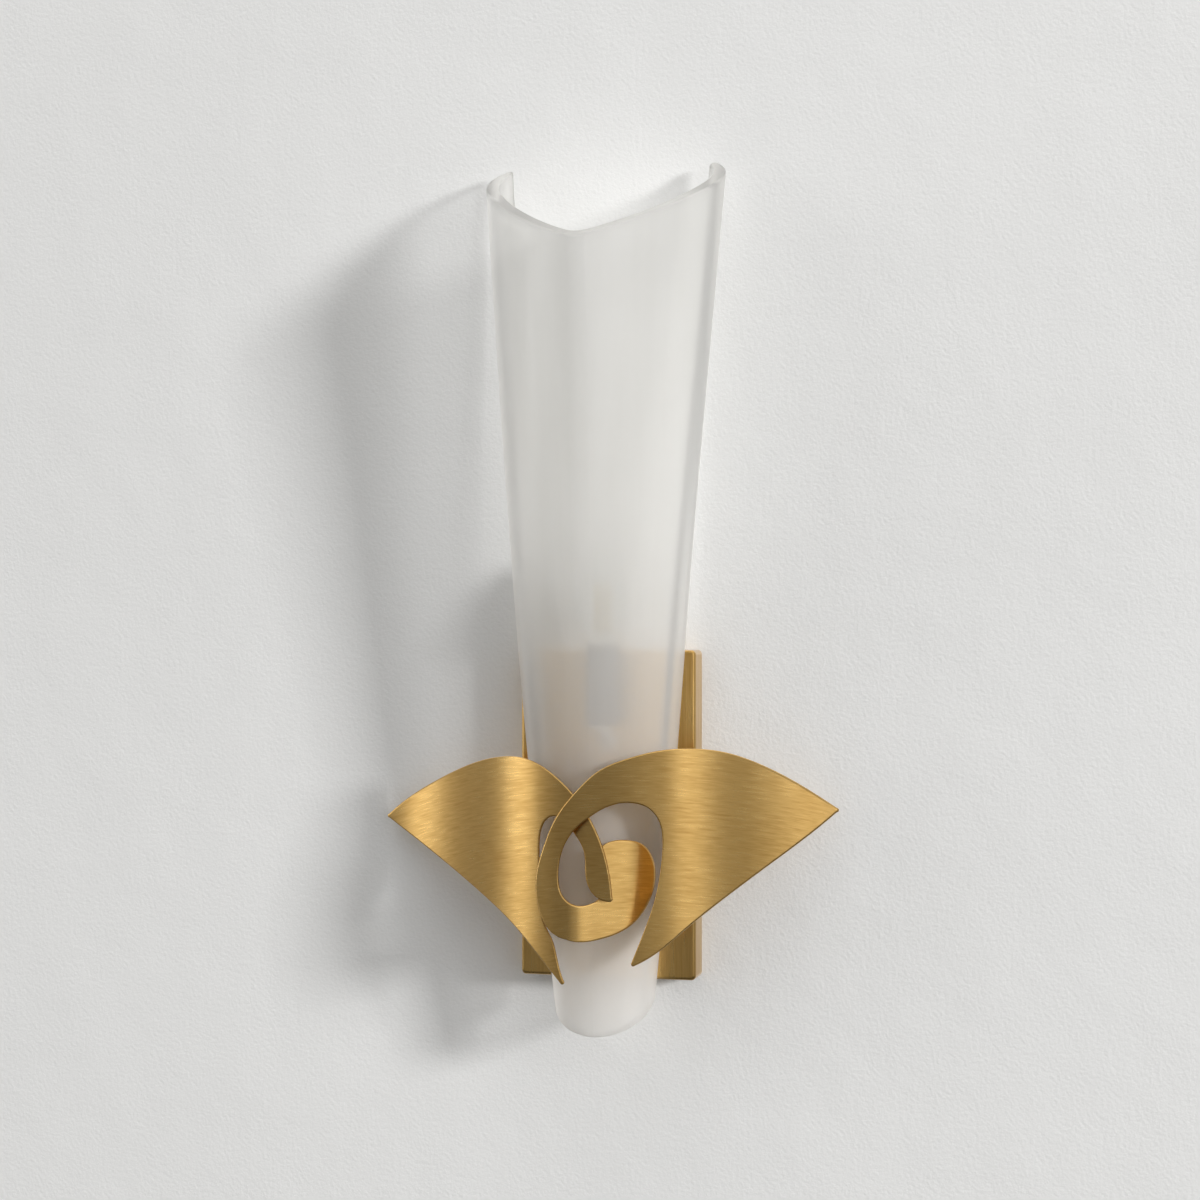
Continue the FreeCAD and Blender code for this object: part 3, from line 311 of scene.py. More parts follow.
# ------------------------------------------------------------------ fins
def inset_ring(ring, amount):
    """The closed outline moved inwards along its corner bisectors; it runs anticlockwise."""
    before = np.roll(ring, 1, axis=0)
    after = np.roll(ring, -1, axis=0)
    along0 = ring - before
    along1 = after - ring
    n0 = np.stack([-along0[:, 1], along0[:, 0]], 1) / np.linalg.norm(along0, axis=1)[:, None]
    n1 = np.stack([-along1[:, 1], along1[:, 0]], 1) / np.linalg.norm(along1, axis=1)[:, None]
    bisector = n0 + n1
    scale = 2 / np.maximum((bisector**2).sum(1), SHARPEST)
    return ring + bisector * scale[:, None] * amount


def thin_out(ring):
    """Numbers of the points that stay when those closer than a step go, so the rounding has even faces."""
    kept = [0]
    for i in range(1, len(ring)):
        if np.linalg.norm(ring[i] - ring[kept[-1]]) >= OUTLINE_STEP:
            kept.append(i)
    if np.linalg.norm(ring[kept[-1]] - ring[0]) < OUTLINE_STEP:
        kept.pop()
    return kept


def new_piece(name, data, weight):
    """Object for a mesh with smooth faces, shaded evenly across its flat parts."""
    piece = bpy.data.objects.new(name, data)
    scene.collection.objects.link(piece)
    weighted = piece.modifiers.new("even_shading", "WEIGHTED_NORMAL")
    weighted.mode = "FACE_AREA"
    weighted.weight = weight
    return piece


def fin(name, runs, sweeps):
    """A bent sheet with rounded edges.

    runs is the outline as pieces (points, sweep number). To the right of the seam each point keeps the sweep
    of its run, so the scroll's inner end can drop back from the band that it leaves. The rest follows the
    first sweep.
    """
    ring = np.concatenate([pts for pts, _ in runs])
    label = np.concatenate([np.full(len(pts), which) for pts, which in runs])
    area = 0.5 * np.sum(ring[:, 0] * np.roll(ring[:, 1], -1) - np.roll(ring[:, 0], -1) * ring[:, 1])
    if area < 0:
        ring = ring[::-1]
        label = label[::-1]
    keep = thin_out(ring)
    ring = ring[keep]
    label = label[keep]
    count = len(ring)
    mesh = bmesh.new()
    levels = quarter_rounding(FIN_ROUNDING)
    levels += [(inset, SHEET - deep) for inset, deep in reversed(levels)]
    rings = []
    for inset, deep in levels:
        pts = inset_ring(ring, inset) if inset > 0 else ring
        rings.append([mesh.verts.new((x, deep, z)) for x, z in pts])
    mesh.faces.new(rings[0][::-1])
    mesh.faces.new(rings[-1])
    for low, high in zip(rings, rings[1:]):
        for i in range(count):
            j = (i + 1) % count
            mesh.faces.new((low[i], low[j], high[j], high[i]))
    bmesh.ops.recalc_face_normals(mesh, faces=mesh.faces)
    cuts = np.arange(math.floor(ring[:, 0].min()), math.ceil(ring[:, 0].max()), BEND_STEP)
    cuts = np.append(cuts[np.abs(cuts - FIN_SEAM_X) > SEAM_CLEAR], FIN_SEAM_X)
    for x in cuts:
        whole = list(mesh.verts) + list(mesh.edges) + list(mesh.faces)
        bmesh.ops.bisect_plane(mesh, geom=whole, dist=1e-4, plane_co=(x, 0, 0), plane_no=(1, 0, 0))
    curves = []
    for curve in sweeps:
        slope = np.gradient(curve[:, 1], curve[:, 0])
        curves.append((curve[:, 0], curve[:, 1], np.sqrt(1 + slope**2)))
    for v in mesh.verts:
        nearest = int(np.argmin((ring[:, 0] - v.co.x) ** 2 + (ring[:, 1] - v.co.z) ** 2))
        which = label[nearest] if v.co.x > FIN_SEAM_X else 0
        xs, depths, stretch = curves[which]
        depth = np.interp(v.co.x, xs, depths) - v.co.y * np.interp(v.co.x, xs, stretch)
        v.co = Vector((v.co.x, -depth, v.co.z)) * MM
    long_faces = [f for f in mesh.faces if len(f.verts) > 4]
    bmesh.ops.triangulate(mesh, faces=long_faces, ngon_method="EAR_CLIP")
    bmesh.ops.recalc_face_normals(mesh, faces=mesh.faces)
    for f in mesh.faces:
        f.smooth = True
    data = bpy.data.meshes.new(name)
    mesh.to_mesh(data)
    mesh.free()
    return new_piece(name, data, 80)


def scroll_piece():
    runs = [
        (smooth(SCROLL_OUTER)[:-1], 0),
        (smooth(INNER_OUTER)[:-1], 1),
        (smooth(SCROLL_HOLE), 0),
        (nose(SCROLL_HOLE[-1], SCROLL_POINT, SCROLL_LOWER[0]), 0),
        (smooth(SCROLL_LOWER), 0),
        (nose(SCROLL_LOWER[-1], SCROLL_TIP, SCROLL_OUTER[0]), 0),
    ]
    sweeps = [plan(SCROLL_SWEEP, SCROLL_CREST), plan(INNER_SWEEP, SCROLL_CREST)]
    return fin("scroll_fin_rounded", runs, sweeps)


def horn_piece():
    runs = [
        (smooth(HORN_UPPER), 0),
        (nose(HORN_UPPER[-1], HORN_TAIL_TIP, HORN_INNER[0]), 0),
        (smooth(HORN_INNER), 0),
        (nose(HORN_INNER[-1], HORN_POINT, HORN_LOWER[0]), 0),
        (smooth(HORN_LOWER), 0),
        (nose(HORN_LOWER[-1], HORN_TIP, HORN_UPPER[0]), 0),
    ]
    return fin("horn_fin_rounded", runs, [plan(HORN_SWEEP, HORN_CREST)])


# ------------------------------------------------------------------ glass
def shade_front(z):
    """Depth of the shade's front line at a height."""
    lean = (SHADE_RIM_FRONT - SHADE_FOOT_FRONT) / (SHADE_RIM_Z - SHADE_FOOT_Z)
    return SHADE_FOOT_FRONT + lean * (z - SHADE_FOOT_Z)


def shade_half(z, half_width, widest, lip_x, lip_depth, curl, fold, walls):
    """Right half of a section as the handles of two cubics, from the crease to the rear lip."""
    front_wall, side_wall, lip_wall = walls
    turn = math.radians(FOLD_ANGLE) * fold
    lean = math.radians(curl)
    side = half_width - side_wall
    crest = shade_front(z) - front_wall / math.cos(turn)
    lip = (lip_x - lip_wall * math.cos(lean), lip_depth + lip_wall * math.sin(lean))
    along = side * (ROUND_HANDLE + (FOLD_HANDLE - ROUND_HANDLE) * fold)
    rise = (crest - widest) * (ROUND_HANDLE + (FOLD_SIDE_HANDLE - ROUND_HANDLE) * fold)
    reach = math.hypot(side - lip[0], widest - lip[1]) * LIP_HANDLE
    return np.array([
        (0.0, crest),
        (along, crest - along * math.tan(turn)),
        (side, widest + rise),
        (side, widest),
        (side, widest - reach),
        (lip[0] + reach * math.sin(lean), lip[1] + reach * math.cos(lean)),
        lip,
    ])


def face_line(handles, crease, far_lip):
    """Dense points on one face, from the crease to the lip's middle, with the crease and the lip rounded."""
    front = handles[0:4]
    rear = handles[3:7]
    lip = handles[6]
    share = crease / (3 * front[1][0])
    start = cubic_at(front, [share])[0]
    arc = corner(start * np.array([-1, 1]), front[0], start, CREASE_POINTS)[CREASE_POINTS // 2 :]
    front_line = cubic_at(front, np.linspace(share, 1, FRONT_POINTS))
    share = 1 - LIP_ROUNDING / np.linalg.norm(rear[0] - lip)
    rear_line = cubic_at(rear, np.linspace(0, share, REAR_POINTS))
    on_lip = lip + (far_lip - lip) / np.linalg.norm(far_lip - lip) * LIP_ROUNDING
    turn = corner(rear_line[-1], lip, on_lip, LIP_POINTS)
    return np.concatenate([arc, front_line, rear_line[1:], turn, [on_lip]])


def section_faces(values):
    """Outer and inner face of the glass's right half at one height, each from the crease to the lip."""
    fold = values[6]
    outer = shade_half(*values, (0.0, 0.0, 0.0))
    inner = shade_half(*values, (SHADE_WALL, SHADE_SIDE_WALL, SHADE_LIP))
    crease = CREASE_ROUNDING * max(fold, 0.02) * (1.6 - 1.1 * fold)
    return face_line(outer, crease, inner[6]), face_line(inner, crease, outer[6])


def through_heights(tables, heights, z):
    """Cubic through the sections' points, read at one height for each point."""
    h = np.array(heights)
    n = len(h)
    flat = tables.reshape(n, -1)
    gaps = np.diff(h)
    a = np.zeros((n, n))
    b = np.zeros((n, flat.shape[1]))
    a[0, 0:2] = (2, 1)
    a[-1, -2:] = (1, 2)
    b[0] = 3 * (flat[1] - flat[0]) / gaps[0]
    b[-1] = 3 * (flat[-1] - flat[-2]) / gaps[-1]
    for i in range(1, n - 1):
        a[i, i - 1 : i + 2] = (1 / gaps[i - 1], 2 / gaps[i - 1] + 2 / gaps[i], 1 / gaps[i])
        b[i] = 3 * ((flat[i] - flat[i - 1]) / gaps[i - 1] ** 2 + (flat[i + 1] - flat[i]) / gaps[i] ** 2)
    m = np.linalg.solve(a, b).reshape(tables.shape)
    z = np.asarray(z, float)
    i = np.clip(np.searchsorted(h, z, side="right") - 1, 0, n - 2)
    s = ((z - h[i]) / gaps[i])[:, None]
    cols = np.arange(tables.shape[1])
    p0, p1, m0, m1 = tables[i, cols], tables[i + 1, cols], m[i, cols], m[i + 1, cols]
    g = gaps[i][:, None]
    return (
        p0 * (1 + 2 * s) * (1 - s) ** 2 + m0 * g * s * (1 - s) ** 2
        + p1 * s * s * (3 - 2 * s) + m1 * g * s * s * (s - 1)
    )


def glass_rows():
    """Rows of points that run up the outer face, over the rim, down the inner face and under the foot."""
    heights = [values[0] for values in SHADE_SECTIONS]
    faces = [section_faces(values) for values in SHADE_SECTIONS]
    outs = np.array([face[0] for face in faces])
    ins = np.array([face[1] for face in faces])
    fall = math.tan(math.radians(SHADE_CUT_ANGLE))

    def cut_height(tables, base_z, base_front):
        z = np.full(outs.shape[1], base_z)
        for _ in range(CUT_PASSES):
            p = through_heights(tables, heights, z)
            z = base_z + (base_front - p[:, 1]) * fall
        return z

    def wall_point(tables, z):
        p = through_heights(tables, heights, z)
        return np.stack([p[:, 0], -p[:, 1], z], 1)

    def wall_rows(tables, foot, rim, shares):
        """Rows of one face between the roundings of its two ends."""
        return [wall_point(tables, foot + RIM_ROUNDING + (rim - foot - 2 * RIM_ROUNDING) * s) for s in shares]

    def rounding(z_out, z_in, sign):
        """Rows across a cut face from the outer wall to the inner, both corners rounded, and their polish."""
        quarter = quarter_rounding(RIM_ROUNDING)
        shine = [k / ROUNDING_STEPS for k in range(ROUNDING_STEPS + 1)]
        middle = [(0.0, None, False)]
        steps = [(*step, False) for step in quarter] + middle + [(*step, True) for step in reversed(quarter)]
        rows = []
        for below, across, inside in steps:
            o = wall_point(outs, z_out - sign * below)
            i = wall_point(ins, z_in - sign * below)
            width = np.linalg.norm(i - o, axis=1)[:, None]
            share = 0.5 if across is None else np.minimum(across / width, 0.5)
            rows.append(i + (o - i) * share if inside else o + (i - o) * share)
        return rows, shine + [1.0] + shine[::-1]

    foot_out = cut_height(outs, SHADE_FOOT_Z, SHADE_FOOT_FRONT)
    foot_in = cut_height(ins, SHADE_FOOT_Z, SHADE_FOOT_FRONT)
    rim_out = cut_height(outs, SHADE_RIM_Z, SHADE_RIM_FRONT)
    rim_in = cut_height(ins, SHADE_RIM_Z, SHADE_RIM_FRONT)
    rim_rows, rim_shine = rounding(rim_out, rim_in, 1)
    foot_rows, foot_shine = rounding(foot_out, foot_in, -1)
    shares = [k / SHADE_LEVELS for k in range(1, SHADE_LEVELS)]
    up = wall_rows(outs, foot_out, rim_out, shares)
    down = wall_rows(ins, foot_in, rim_in, shares[::-1])
    plain = [0.0] * len(shares)
    return up + rim_rows + down + foot_rows[::-1], plain + rim_shine + plain + foot_shine[::-1]


def ladder(chain):
    """Faces across a strip that is closed at one end."""
    faces = []
    low = 0
    high = len(chain) - 1
    while high - low > 1:
        face = (chain[low], chain[low + 1], chain[high - 1], chain[high])
        faces.append(face if high - low > 2 else face[:2] + face[3:])
        low += 1
        high -= 1
    return faces


def build_glass():
    """Closed shell: rows run round the wall's height, columns round its width, mirrored left to right."""
    rows, polish = glass_rows()
    count = len(rows)
    n = len(rows[0])
    wide = 2 * n - 1
    lip = np.clip((np.abs(np.arange(wide) - (n - 1)) - (n - 7)) / 3.0, 0, 1)
    verts = [np.concatenate([row[:0:-1] * np.array([-1, 1, 1]), row]) * MM for row in rows]
    shine = [np.maximum(value, lip) for value in polish]
    faces = []
    for r in range(count):
        q = (r + 1) % count
        faces += [(r * wide + c, r * wide + c + 1, q * wide + c + 1, q * wide + c) for c in range(wide - 1)]
    body = SHADE_LEVELS - 1
    across = count // 2 - body
    for c in (0, wide - 1):
        column = [r * wide + c for r in range(count)]
        up = column[:body]
        rim = column[body : body + across]
        down = column[body + across : 2 * body + across][::-1]
        foot = column[2 * body + across :]
        faces += [(up[k], up[k + 1], down[k + 1], down[k]) for k in range(body - 1)]
        faces += ladder([up[-1]] + rim + [down[-1]])
        faces += ladder([down[0]] + foot + [up[0]])
    data = bpy.data.meshes.new("glass_shell_polished")
    data.from_pydata(np.concatenate(verts).tolist(), [], faces)
    layer = data.attributes.new("polish", "FLOAT", "POINT")
    layer.data.foreach_set("value", np.concatenate(shine).astype(np.float32))
    mesh = bmesh.new()
    mesh.from_mesh(data)
    bmesh.ops.recalc_face_normals(mesh, faces=mesh.faces)
    for f in mesh.faces:
        f.smooth = True
    mesh.to_mesh(data)
    mesh.free()
    return new_piece("glass_shell_polished", data, 60)


# ------------------------------------------------------------------ shader nodes
def material(name):
    mat = bpy.data.materials.new(name)
    mat.use_nodes = True
    tree = mat.node_tree
    return mat, tree, tree.nodes["Principled BSDF"]


def link(tree, source, target):
    tree.links.new(source, target)


def coords(tree, scale=(1, 1, 1)):
    """The piece's own coordinates, in metres before the scale."""
    where = tree.nodes.new("ShaderNodeTexCoord")
    shift = tree.nodes.new("ShaderNodeMapping")
    shift.inputs["Scale"].default_value = scale
    link(tree, where.outputs["Object"], shift.inputs["Vector"])
    return shift.outputs["Vector"]


def axes(tree, vector):
    parts = tree.nodes.new("ShaderNodeSeparateXYZ")
    link(tree, vector, parts.inputs["Vector"])
    return [parts.outputs[axis] for axis in "XYZ"]


def noise(tree, vector, scale, detail=2.0, rough=0.5):
    tex = tree.nodes.new("ShaderNodeTexNoise")
    tex.inputs["Scale"].default_value = scale
    tex.inputs["Detail"].default_value = detail
    tex.inputs["Roughness"].default_value = rough
    link(tree, vector, tex.inputs["Vector"])
    return tex.outputs["Fac"]


def spread(tree, value, low, high, from_low=0.3, from_high=0.7):
    """Maps a range of the value onto low to high, and holds it there outside that range."""
    node = tree.nodes.new("ShaderNodeMapRange")
    node.inputs["From Min"].default_value = from_low
    node.inputs["From Max"].default_value = from_high
    node.inputs["To Min"].default_value = low
    node.inputs["To Max"].default_value = high
    link(tree, value, node.inputs["Value"])
    return node.outputs["Result"]


def math_node(tree, operation, a, b=None):
    node = tree.nodes.new("ShaderNodeMath")
    node.operation = operation
    for socket, value in zip(node.inputs, (a, b)):
        if value is None:
            continue
        if isinstance(value, (int, float)):
            socket.default_value = value
        else:
            link(tree, value, socket)
    return node.outputs["Value"]


def plus(tree, a, b):
    return math_node(tree, "ADD", a, b)


def times(tree, a, b):
    return math_node(tree, "MULTIPLY", a, b)


def minus(tree, a, b):
    return math_node(tree, "SUBTRACT", a, b)


def blend(tree, factor, dark, light):
    node = tree.nodes.new("ShaderNodeMix")
    node.data_type = "RGBA"
    for socket, value in zip((node.inputs["Factor"], node.inputs[6], node.inputs[7]), (factor, dark, light)):
        if isinstance(value, tuple):
            socket.default_value = (*value, 1)
        else:
            link(tree, value, socket)
    return node.outputs[2]


def mix_shader(tree, factor, first, second):
    node = tree.nodes.new("ShaderNodeMixShader")
    if isinstance(factor, float):
        node.inputs["Fac"].default_value = factor
    else:
        link(tree, factor, node.inputs["Fac"])
    link(tree, first, node.inputs[1])
    link(tree, second, node.inputs[2])
    return node.outputs["Shader"]


def bump(tree, height, strength, distance, normal=None):
    node = tree.nodes.new("ShaderNodeBump")
    node.inputs["Strength"].default_value = strength
    node.inputs["Distance"].default_value = distance
    link(tree, height, node.inputs["Height"])
    if normal is not None:
        link(tree, normal, node.inputs["Normal"])
    return node.outputs["Normal"]


# ------------------------------------------------------------------ materials
def arc_marks(tree, share):
    """Coordinates that follow circles round a far point in the front plane, for brush marks."""
    where = tree.nodes.new("ShaderNodeTexCoord")
    x, y, z = axes(tree, where.outputs["Object"])
    dx = minus(tree, x, BRUSH_CENTRE[0])
    dz = minus(tree, z, BRUSH_CENTRE[1])
    radius = math_node(tree, "SQRT", plus(tree, times(tree, dx, dx), times(tree, dz, dz)))
    angle = math_node(tree, "ARCTAN2", dx, dz)
    join = tree.nodes.new("ShaderNodeCombineXYZ")
    link(tree, times(tree, angle, BRUSH_ALONG), join.inputs["X"])
    link(tree, times(tree, radius, BRUSH_ACROSS * share), join.inputs["Y"])
    link(tree, times(tree, y, BRUSH_ALONG), join.inputs["Z"])
    return join.outputs["Vector"]


def upright_marks(tree, share):
    return coords(tree, (UPRIGHT_ACROSS * share, UPRIGHT_ACROSS * share, UPRIGHT_ALONG))


def brushed_brass(name, brush, rough_way):
    """Lacquered brass with brush marks. A highlight is drawn out across the marks, along rough_way."""
    mat, tree, shader = material(name)
    hair = noise(tree, brush(tree, 1.0), 1.0, 3.0, 0.6)
    sweep = noise(tree, brush(tree, 0.2), 1.0, 2.0, 0.5)
    cloud = noise(tree, coords(tree), 28.0, 3.0, 0.55)
    tone = plus(tree, times(tree, hair, 0.45), times(tree, sweep, 0.3))
    tone = plus(tree, tone, times(tree, cloud, 0.25))
    colour = blend(tree, spread(tree, tone, 0, 1, 0.36, 0.64), BRASS_DEEP, BRASS)
    link(tree, colour, shader.inputs["Base Color"])
    shader.inputs["Metallic"].default_value = 1.0
    link(tree, spread(tree, tone, 0.37, 0.25, 0.35, 0.65), shader.inputs["Roughness"])
    height = plus(tree, hair, times(tree, sweep, 0.5))
    link(tree, bump(tree, height, 0.5, 0.00003), shader.inputs["Normal"])
    shader.inputs["Anisotropic"].default_value = 0.78
    way = tree.nodes.new("ShaderNodeCombineXYZ")
    for axis, value in zip("XYZ", rough_way):
        way.inputs[axis].default_value = value
    link(tree, way.outputs["Vector"], shader.inputs["Tangent"])
    shader.inputs["Coat Weight"].default_value = 0.25
    shader.inputs["Coat Roughness"].default_value = 0.12
    return mat


def plain_metal(name, light, dark, rough=(0.25, 0.4)):
    mat, tree, shader = material(name)
    where = coords(tree)
    patch = noise(tree, where, 60.0, 3.0, 0.6)
    fine = noise(tree, where, 900.0, 2.0, 0.6)
    link(tree, blend(tree, spread(tree, patch, 0, 1), dark, light), shader.inputs["Base Color"])
    shader.inputs["Metallic"].default_value = 1.0
    link(tree, spread(tree, patch, rough[1], rough[0]), shader.inputs["Roughness"])
    link(tree, bump(tree, fine, 0.4, 0.00002), shader.inputs["Normal"])
    return mat


def plain_solid(name, light, dark, rough=(0.35, 0.5), coat=0.0, soft=0.0):
    mat, tree, shader = material(name)
    where = coords(tree)
    patch = noise(tree, where, 50.0, 3.0, 0.55)
    fine = noise(tree, where, 700.0, 3.0, 0.6)
    link(tree, blend(tree, spread(tree, patch, 0, 1), dark, light), shader.inputs["Base Color"])
    link(tree, spread(tree, fine, rough[0], rough[1]), shader.inputs["Roughness"])
    link(tree, bump(tree, fine, 0.4, 0.00003), shader.inputs["Normal"])
    shader.inputs["Coat Weight"].default_value = coat
    shader.inputs["Subsurface Weight"].default_value = soft
    shader.inputs["Subsurface Radius"].default_value = (1, 0.9, 0.8)
    shader.inputs["Subsurface Scale"].default_value = 0.002
    return mat


def clear_glass(name):
    mat, tree, shader = material(name)
    smear = noise(tree, coords(tree), 40.0, 2.0, 0.5)
    shader.inputs["Base Color"].default_value = (0.97, 0.98, 0.97, 1)
    shader.inputs["Transmission Weight"].default_value = 1.0
    shader.inputs["IOR"].default_value = 1.47
    link(tree, spread(tree, smear, 0.01, 0.05), shader.inputs["Roughness"])
    link(tree, bump(tree, smear, 0.1, 0.0002), shader.inputs["Normal"])
    return mat


def frosted_glass(name):
    """Thick glass with acid-frosted faces and clear polished edges.

    Part of the light is scattered back, part is scattered through, and part is refracted and blurred.
    Lamps shine through it with a loss that grows as they meet it more edge on.
    """
    mat, tree, shader = material(name)
    polish = tree.nodes.new("ShaderNodeAttribute")
    polish.attribute_name = "polish"
    where = coords(tree)
    streak = noise(tree, coords(tree, (60, 60, 3.5)), 1.0, 3.0, 0.6)
    mist = noise(tree, where, 11.0, 2.0, 0.5)
    grain = noise(tree, where, 1300.0, 2.0, 0.6)
    tone = plus(tree, times(tree, streak, 0.55), times(tree, mist, 0.45))
    height = axes(tree, where)[2]
    # Painted light: the colour goes from paler low down to greyer high up, evening out how light falls on the
    # glass.
    rise = spread(tree, height, 0, 1, PAINTED_LIGHT_LOW_Z, PAINTED_LIGHT_HIGH_Z)
    thick_frost_painted_light = blend(tree, rise, *THICK_FROST_PAINTED_LIGHT)
    thin_frost_painted_light = blend(tree, rise, *THIN_FROST_PAINTED_LIGHT)
    frost_and_painted_light = blend(tree, spread(tree, tone, 0, 1, 0.35, 0.65), thin_frost_painted_light, thick_frost_painted_light)
    link(tree, frost_and_painted_light, shader.inputs["Base Color"])
    shader.inputs["Roughness"].default_value = 0.42
    shader.inputs["IOR"].default_value = 1.5
    surface = bump(tree, grain, 0.3, 0.00005, bump(tree, streak, 0.35, 0.0012))
    link(tree, surface, shader.inputs["Normal"])
    through = tree.nodes.new("ShaderNodeBsdfTranslucent")
    link(tree, frost_and_painted_light, through.inputs["Color"])
    bent = tree.nodes.new("ShaderNodeBsdfRefraction")
    bent.inputs["Color"].default_value = (0.97, 0.967, 0.955, 1)
    bent.inputs["Roughness"].default_value = 0.38
    bent.inputs["IOR"].default_value = 1.25
    clear = tree.nodes.new("ShaderNodeBsdfGlass")
    clear.inputs["Color"].default_value = (0.90, 0.885, 0.86, 1)
    clear.inputs["Roughness"].default_value = 0.2
    clear.inputs["IOR"].default_value = 1.5
    white = mix_shader(tree, 0.74, shader.outputs["BSDF"], through.outputs["BSDF"])
    frosted = mix_shader(tree, spread(tree, height, *CLEARER), white, bent.outputs["BSDF"])
    edge = spread(tree, polish.outputs["Fac"], 0, 0.34, 0.35, 0.95)
    solid = mix_shader(tree, edge, frosted, clear.outputs["BSDF"])
    angle = tree.nodes.new("ShaderNodeLayerWeight")
    angle.inputs["Blend"].default_value = 0.5
    loss = times(tree, math_node(tree, "POWER", angle.outputs["Facing"], 1.5), PASSED_LOSS)
    share = math_node(tree, "MAXIMUM", minus(tree, PASSED_SQUARE, loss), PASSED_LEAST)
    passed = tree.nodes.new("ShaderNodeCombineColor")
    for band in ("Red", "Green", "Blue"):
        link(tree, share, passed.inputs[band])
    open_way = tree.nodes.new("ShaderNodeBsdfTransparent")
    link(tree, passed.outputs["Color"], open_way.inputs["Color"])
    path = tree.nodes.new("ShaderNodeLightPath")
    whole = mix_shader(tree, path.outputs["Is Shadow Ray"], solid, open_way.outputs["BSDF"])
    link(tree, whole, tree.nodes["Material Output"].inputs["Surface"])
    return mat


def plaster(name, colour, one_sided=False):
    """Painted plaster. A one-sided wall can't be seen from behind."""
    mat, tree, shader = material(name)
    where = coords(tree)
    grain = noise(tree, where, 420.0, 4.0, 0.6)
    trowel = noise(tree, where, 14.0, 3.0, 0.5)
    patch = noise(tree, where, 2.2, 2.0, 0.5)
    dark = tuple(0.965 * c for c in colour)
    link(tree, blend(tree, spread(tree, patch, 0, 1), dark, colour), shader.inputs["Base Color"])
    shader.inputs["Roughness"].default_value = 0.9
    shader.inputs["Specular IOR Level"].default_value = 0.2
    coarse = bump(tree, trowel, 0.25, 0.004)
    link(tree, bump(tree, grain, 0.4, 0.0008, coarse), shader.inputs["Normal"])
    if one_sided:
        side = tree.nodes.new("ShaderNodeNewGeometry")
        clear = tree.nodes.new("ShaderNodeBsdfTransparent")
        whole = mix_shader(tree, side.outputs["Backfacing"], shader.outputs["BSDF"], clear.outputs["BSDF"])
        link(tree, whole, tree.nodes["Material Output"].inputs["Surface"])
    return mat


def make_materials():
    """Finishes of the record's material slots, and that of the fins."""
    steel = ((0.66, 0.66, 0.64), (0.50, 0.50, 0.49))
    pale_metal = ((0.78, 0.77, 0.75), (0.62, 0.61, 0.59), (0.2, 0.32))
    green = ((0.10, 0.42, 0.18), (0.06, 0.28, 0.11), (0.3, 0.45))
    phenolic = ((0.05, 0.05, 0.055), (0.025, 0.025, 0.03), (0.25, 0.4))
    rubber = ((0.72, 0.72, 0.70), (0.62, 0.62, 0.60), (0.5, 0.7))
    nylon = ((0.84, 0.83, 0.79), (0.78, 0.76, 0.71), (0.4, 0.55))
    china = ((0.86, 0.85, 0.82), (0.80, 0.78, 0.74), (0.2, 0.35))
    black = ((0.035, 0.03, 0.035), (0.015, 0.015, 0.02), (0.1, 0.2))
    yellow = ((0.88, 0.66, 0.20), (0.80, 0.55, 0.14), (0.6, 0.8))
    white_wire = ((0.82, 0.82, 0.80), (0.74, 0.74, 0.71))
    return {
        "brass_fins": brushed_brass("brass_fins_detail", arc_marks, (0, 0, 1)),
        "brushed_brass": brushed_brass("brushed_brass_detail", upright_marks, (1, 0, 0)),
        "zinc_steel": plain_metal("zinc_steel_detail", *steel),
        "shell_brass": plain_metal("shell_brass_detail", (0.78, 0.58, 0.30), (0.62, 0.43, 0.19)),
        "bulb_cap_metal": plain_metal("bulb_cap_detail", *pale_metal),
        "ground_copper": plain_metal("ground_copper_detail", (0.85, 0.48, 0.32), (0.62, 0.30, 0.18)),
        "ground_green": plain_metal("ground_green_detail", *green),
        "black_phenolic": plain_solid("black_phenolic_detail", *phenolic),
        "soft_gasket": plain_solid("soft_gasket_detail", *rubber),
        "nylon": plain_solid("nylon_detail", *nylon, soft=0.2),
        "porcelain": plain_solid("porcelain_detail", *china, coat=0.5),
        "black_glass": plain_solid("black_glass_detail", *black),
        "filament_coat": plain_solid("filament_coat_detail", *yellow),
        "block_plastic": plain_solid("block_plastic_detail", (0.80, 0.79, 0.76), (0.72, 0.71, 0.67)),
        "line_insulation": plain_solid("line_insulation_detail", (0.045, 0.045, 0.05), (0.02, 0.02, 0.02)),
        "neutral_insulation": plain_solid("neutral_insulation_detail", *white_wire),
        "clear_glass": clear_glass("clear_glass_detail"),
        "frosted_glass": frosted_glass("frosted_glass_detail"),
    }


# ------------------------------------------------------------------ stage, light and camera
def stage_plane(name, corners, paint):
    data = bpy.data.meshes.new(name)
    data.from_pydata(corners, [], [(0, 1, 2, 3)])
    data.materials.append(paint)
    piece = bpy.data.objects.new(name, data)
    scene.collection.objects.link(piece)
    piece.visible_diffuse = False
    piece.visible_glossy = False
    return piece


def build_stage():
    """A wall and a floor that throw no light back. The room's light stands in for the wall's."""
    low, high = (-WALL_SIDE, FLOOR_Z), (WALL_SIDE, WALL_TOP)
    corners = [(x, WALL_GAP, z) for x, z in (low, (high[0], low[1]), high, (low[0], high[1]))]
    wall = stage_plane("plaster_wall", corners, plaster("plaster_wall_paint", WALL_PAINT, one_sided=True))
    wall.visible_shadow = False
    corners = [(x * FLOOR_SIDE, y * FLOOR_SIDE, FLOOR_Z) for x, y in ((-1, -1), (1, -1), (1, 1), (-1, 1))]
    stage_plane("pale_floor", corners, plaster("pale_floor_paint", FLOOR_PAINT))


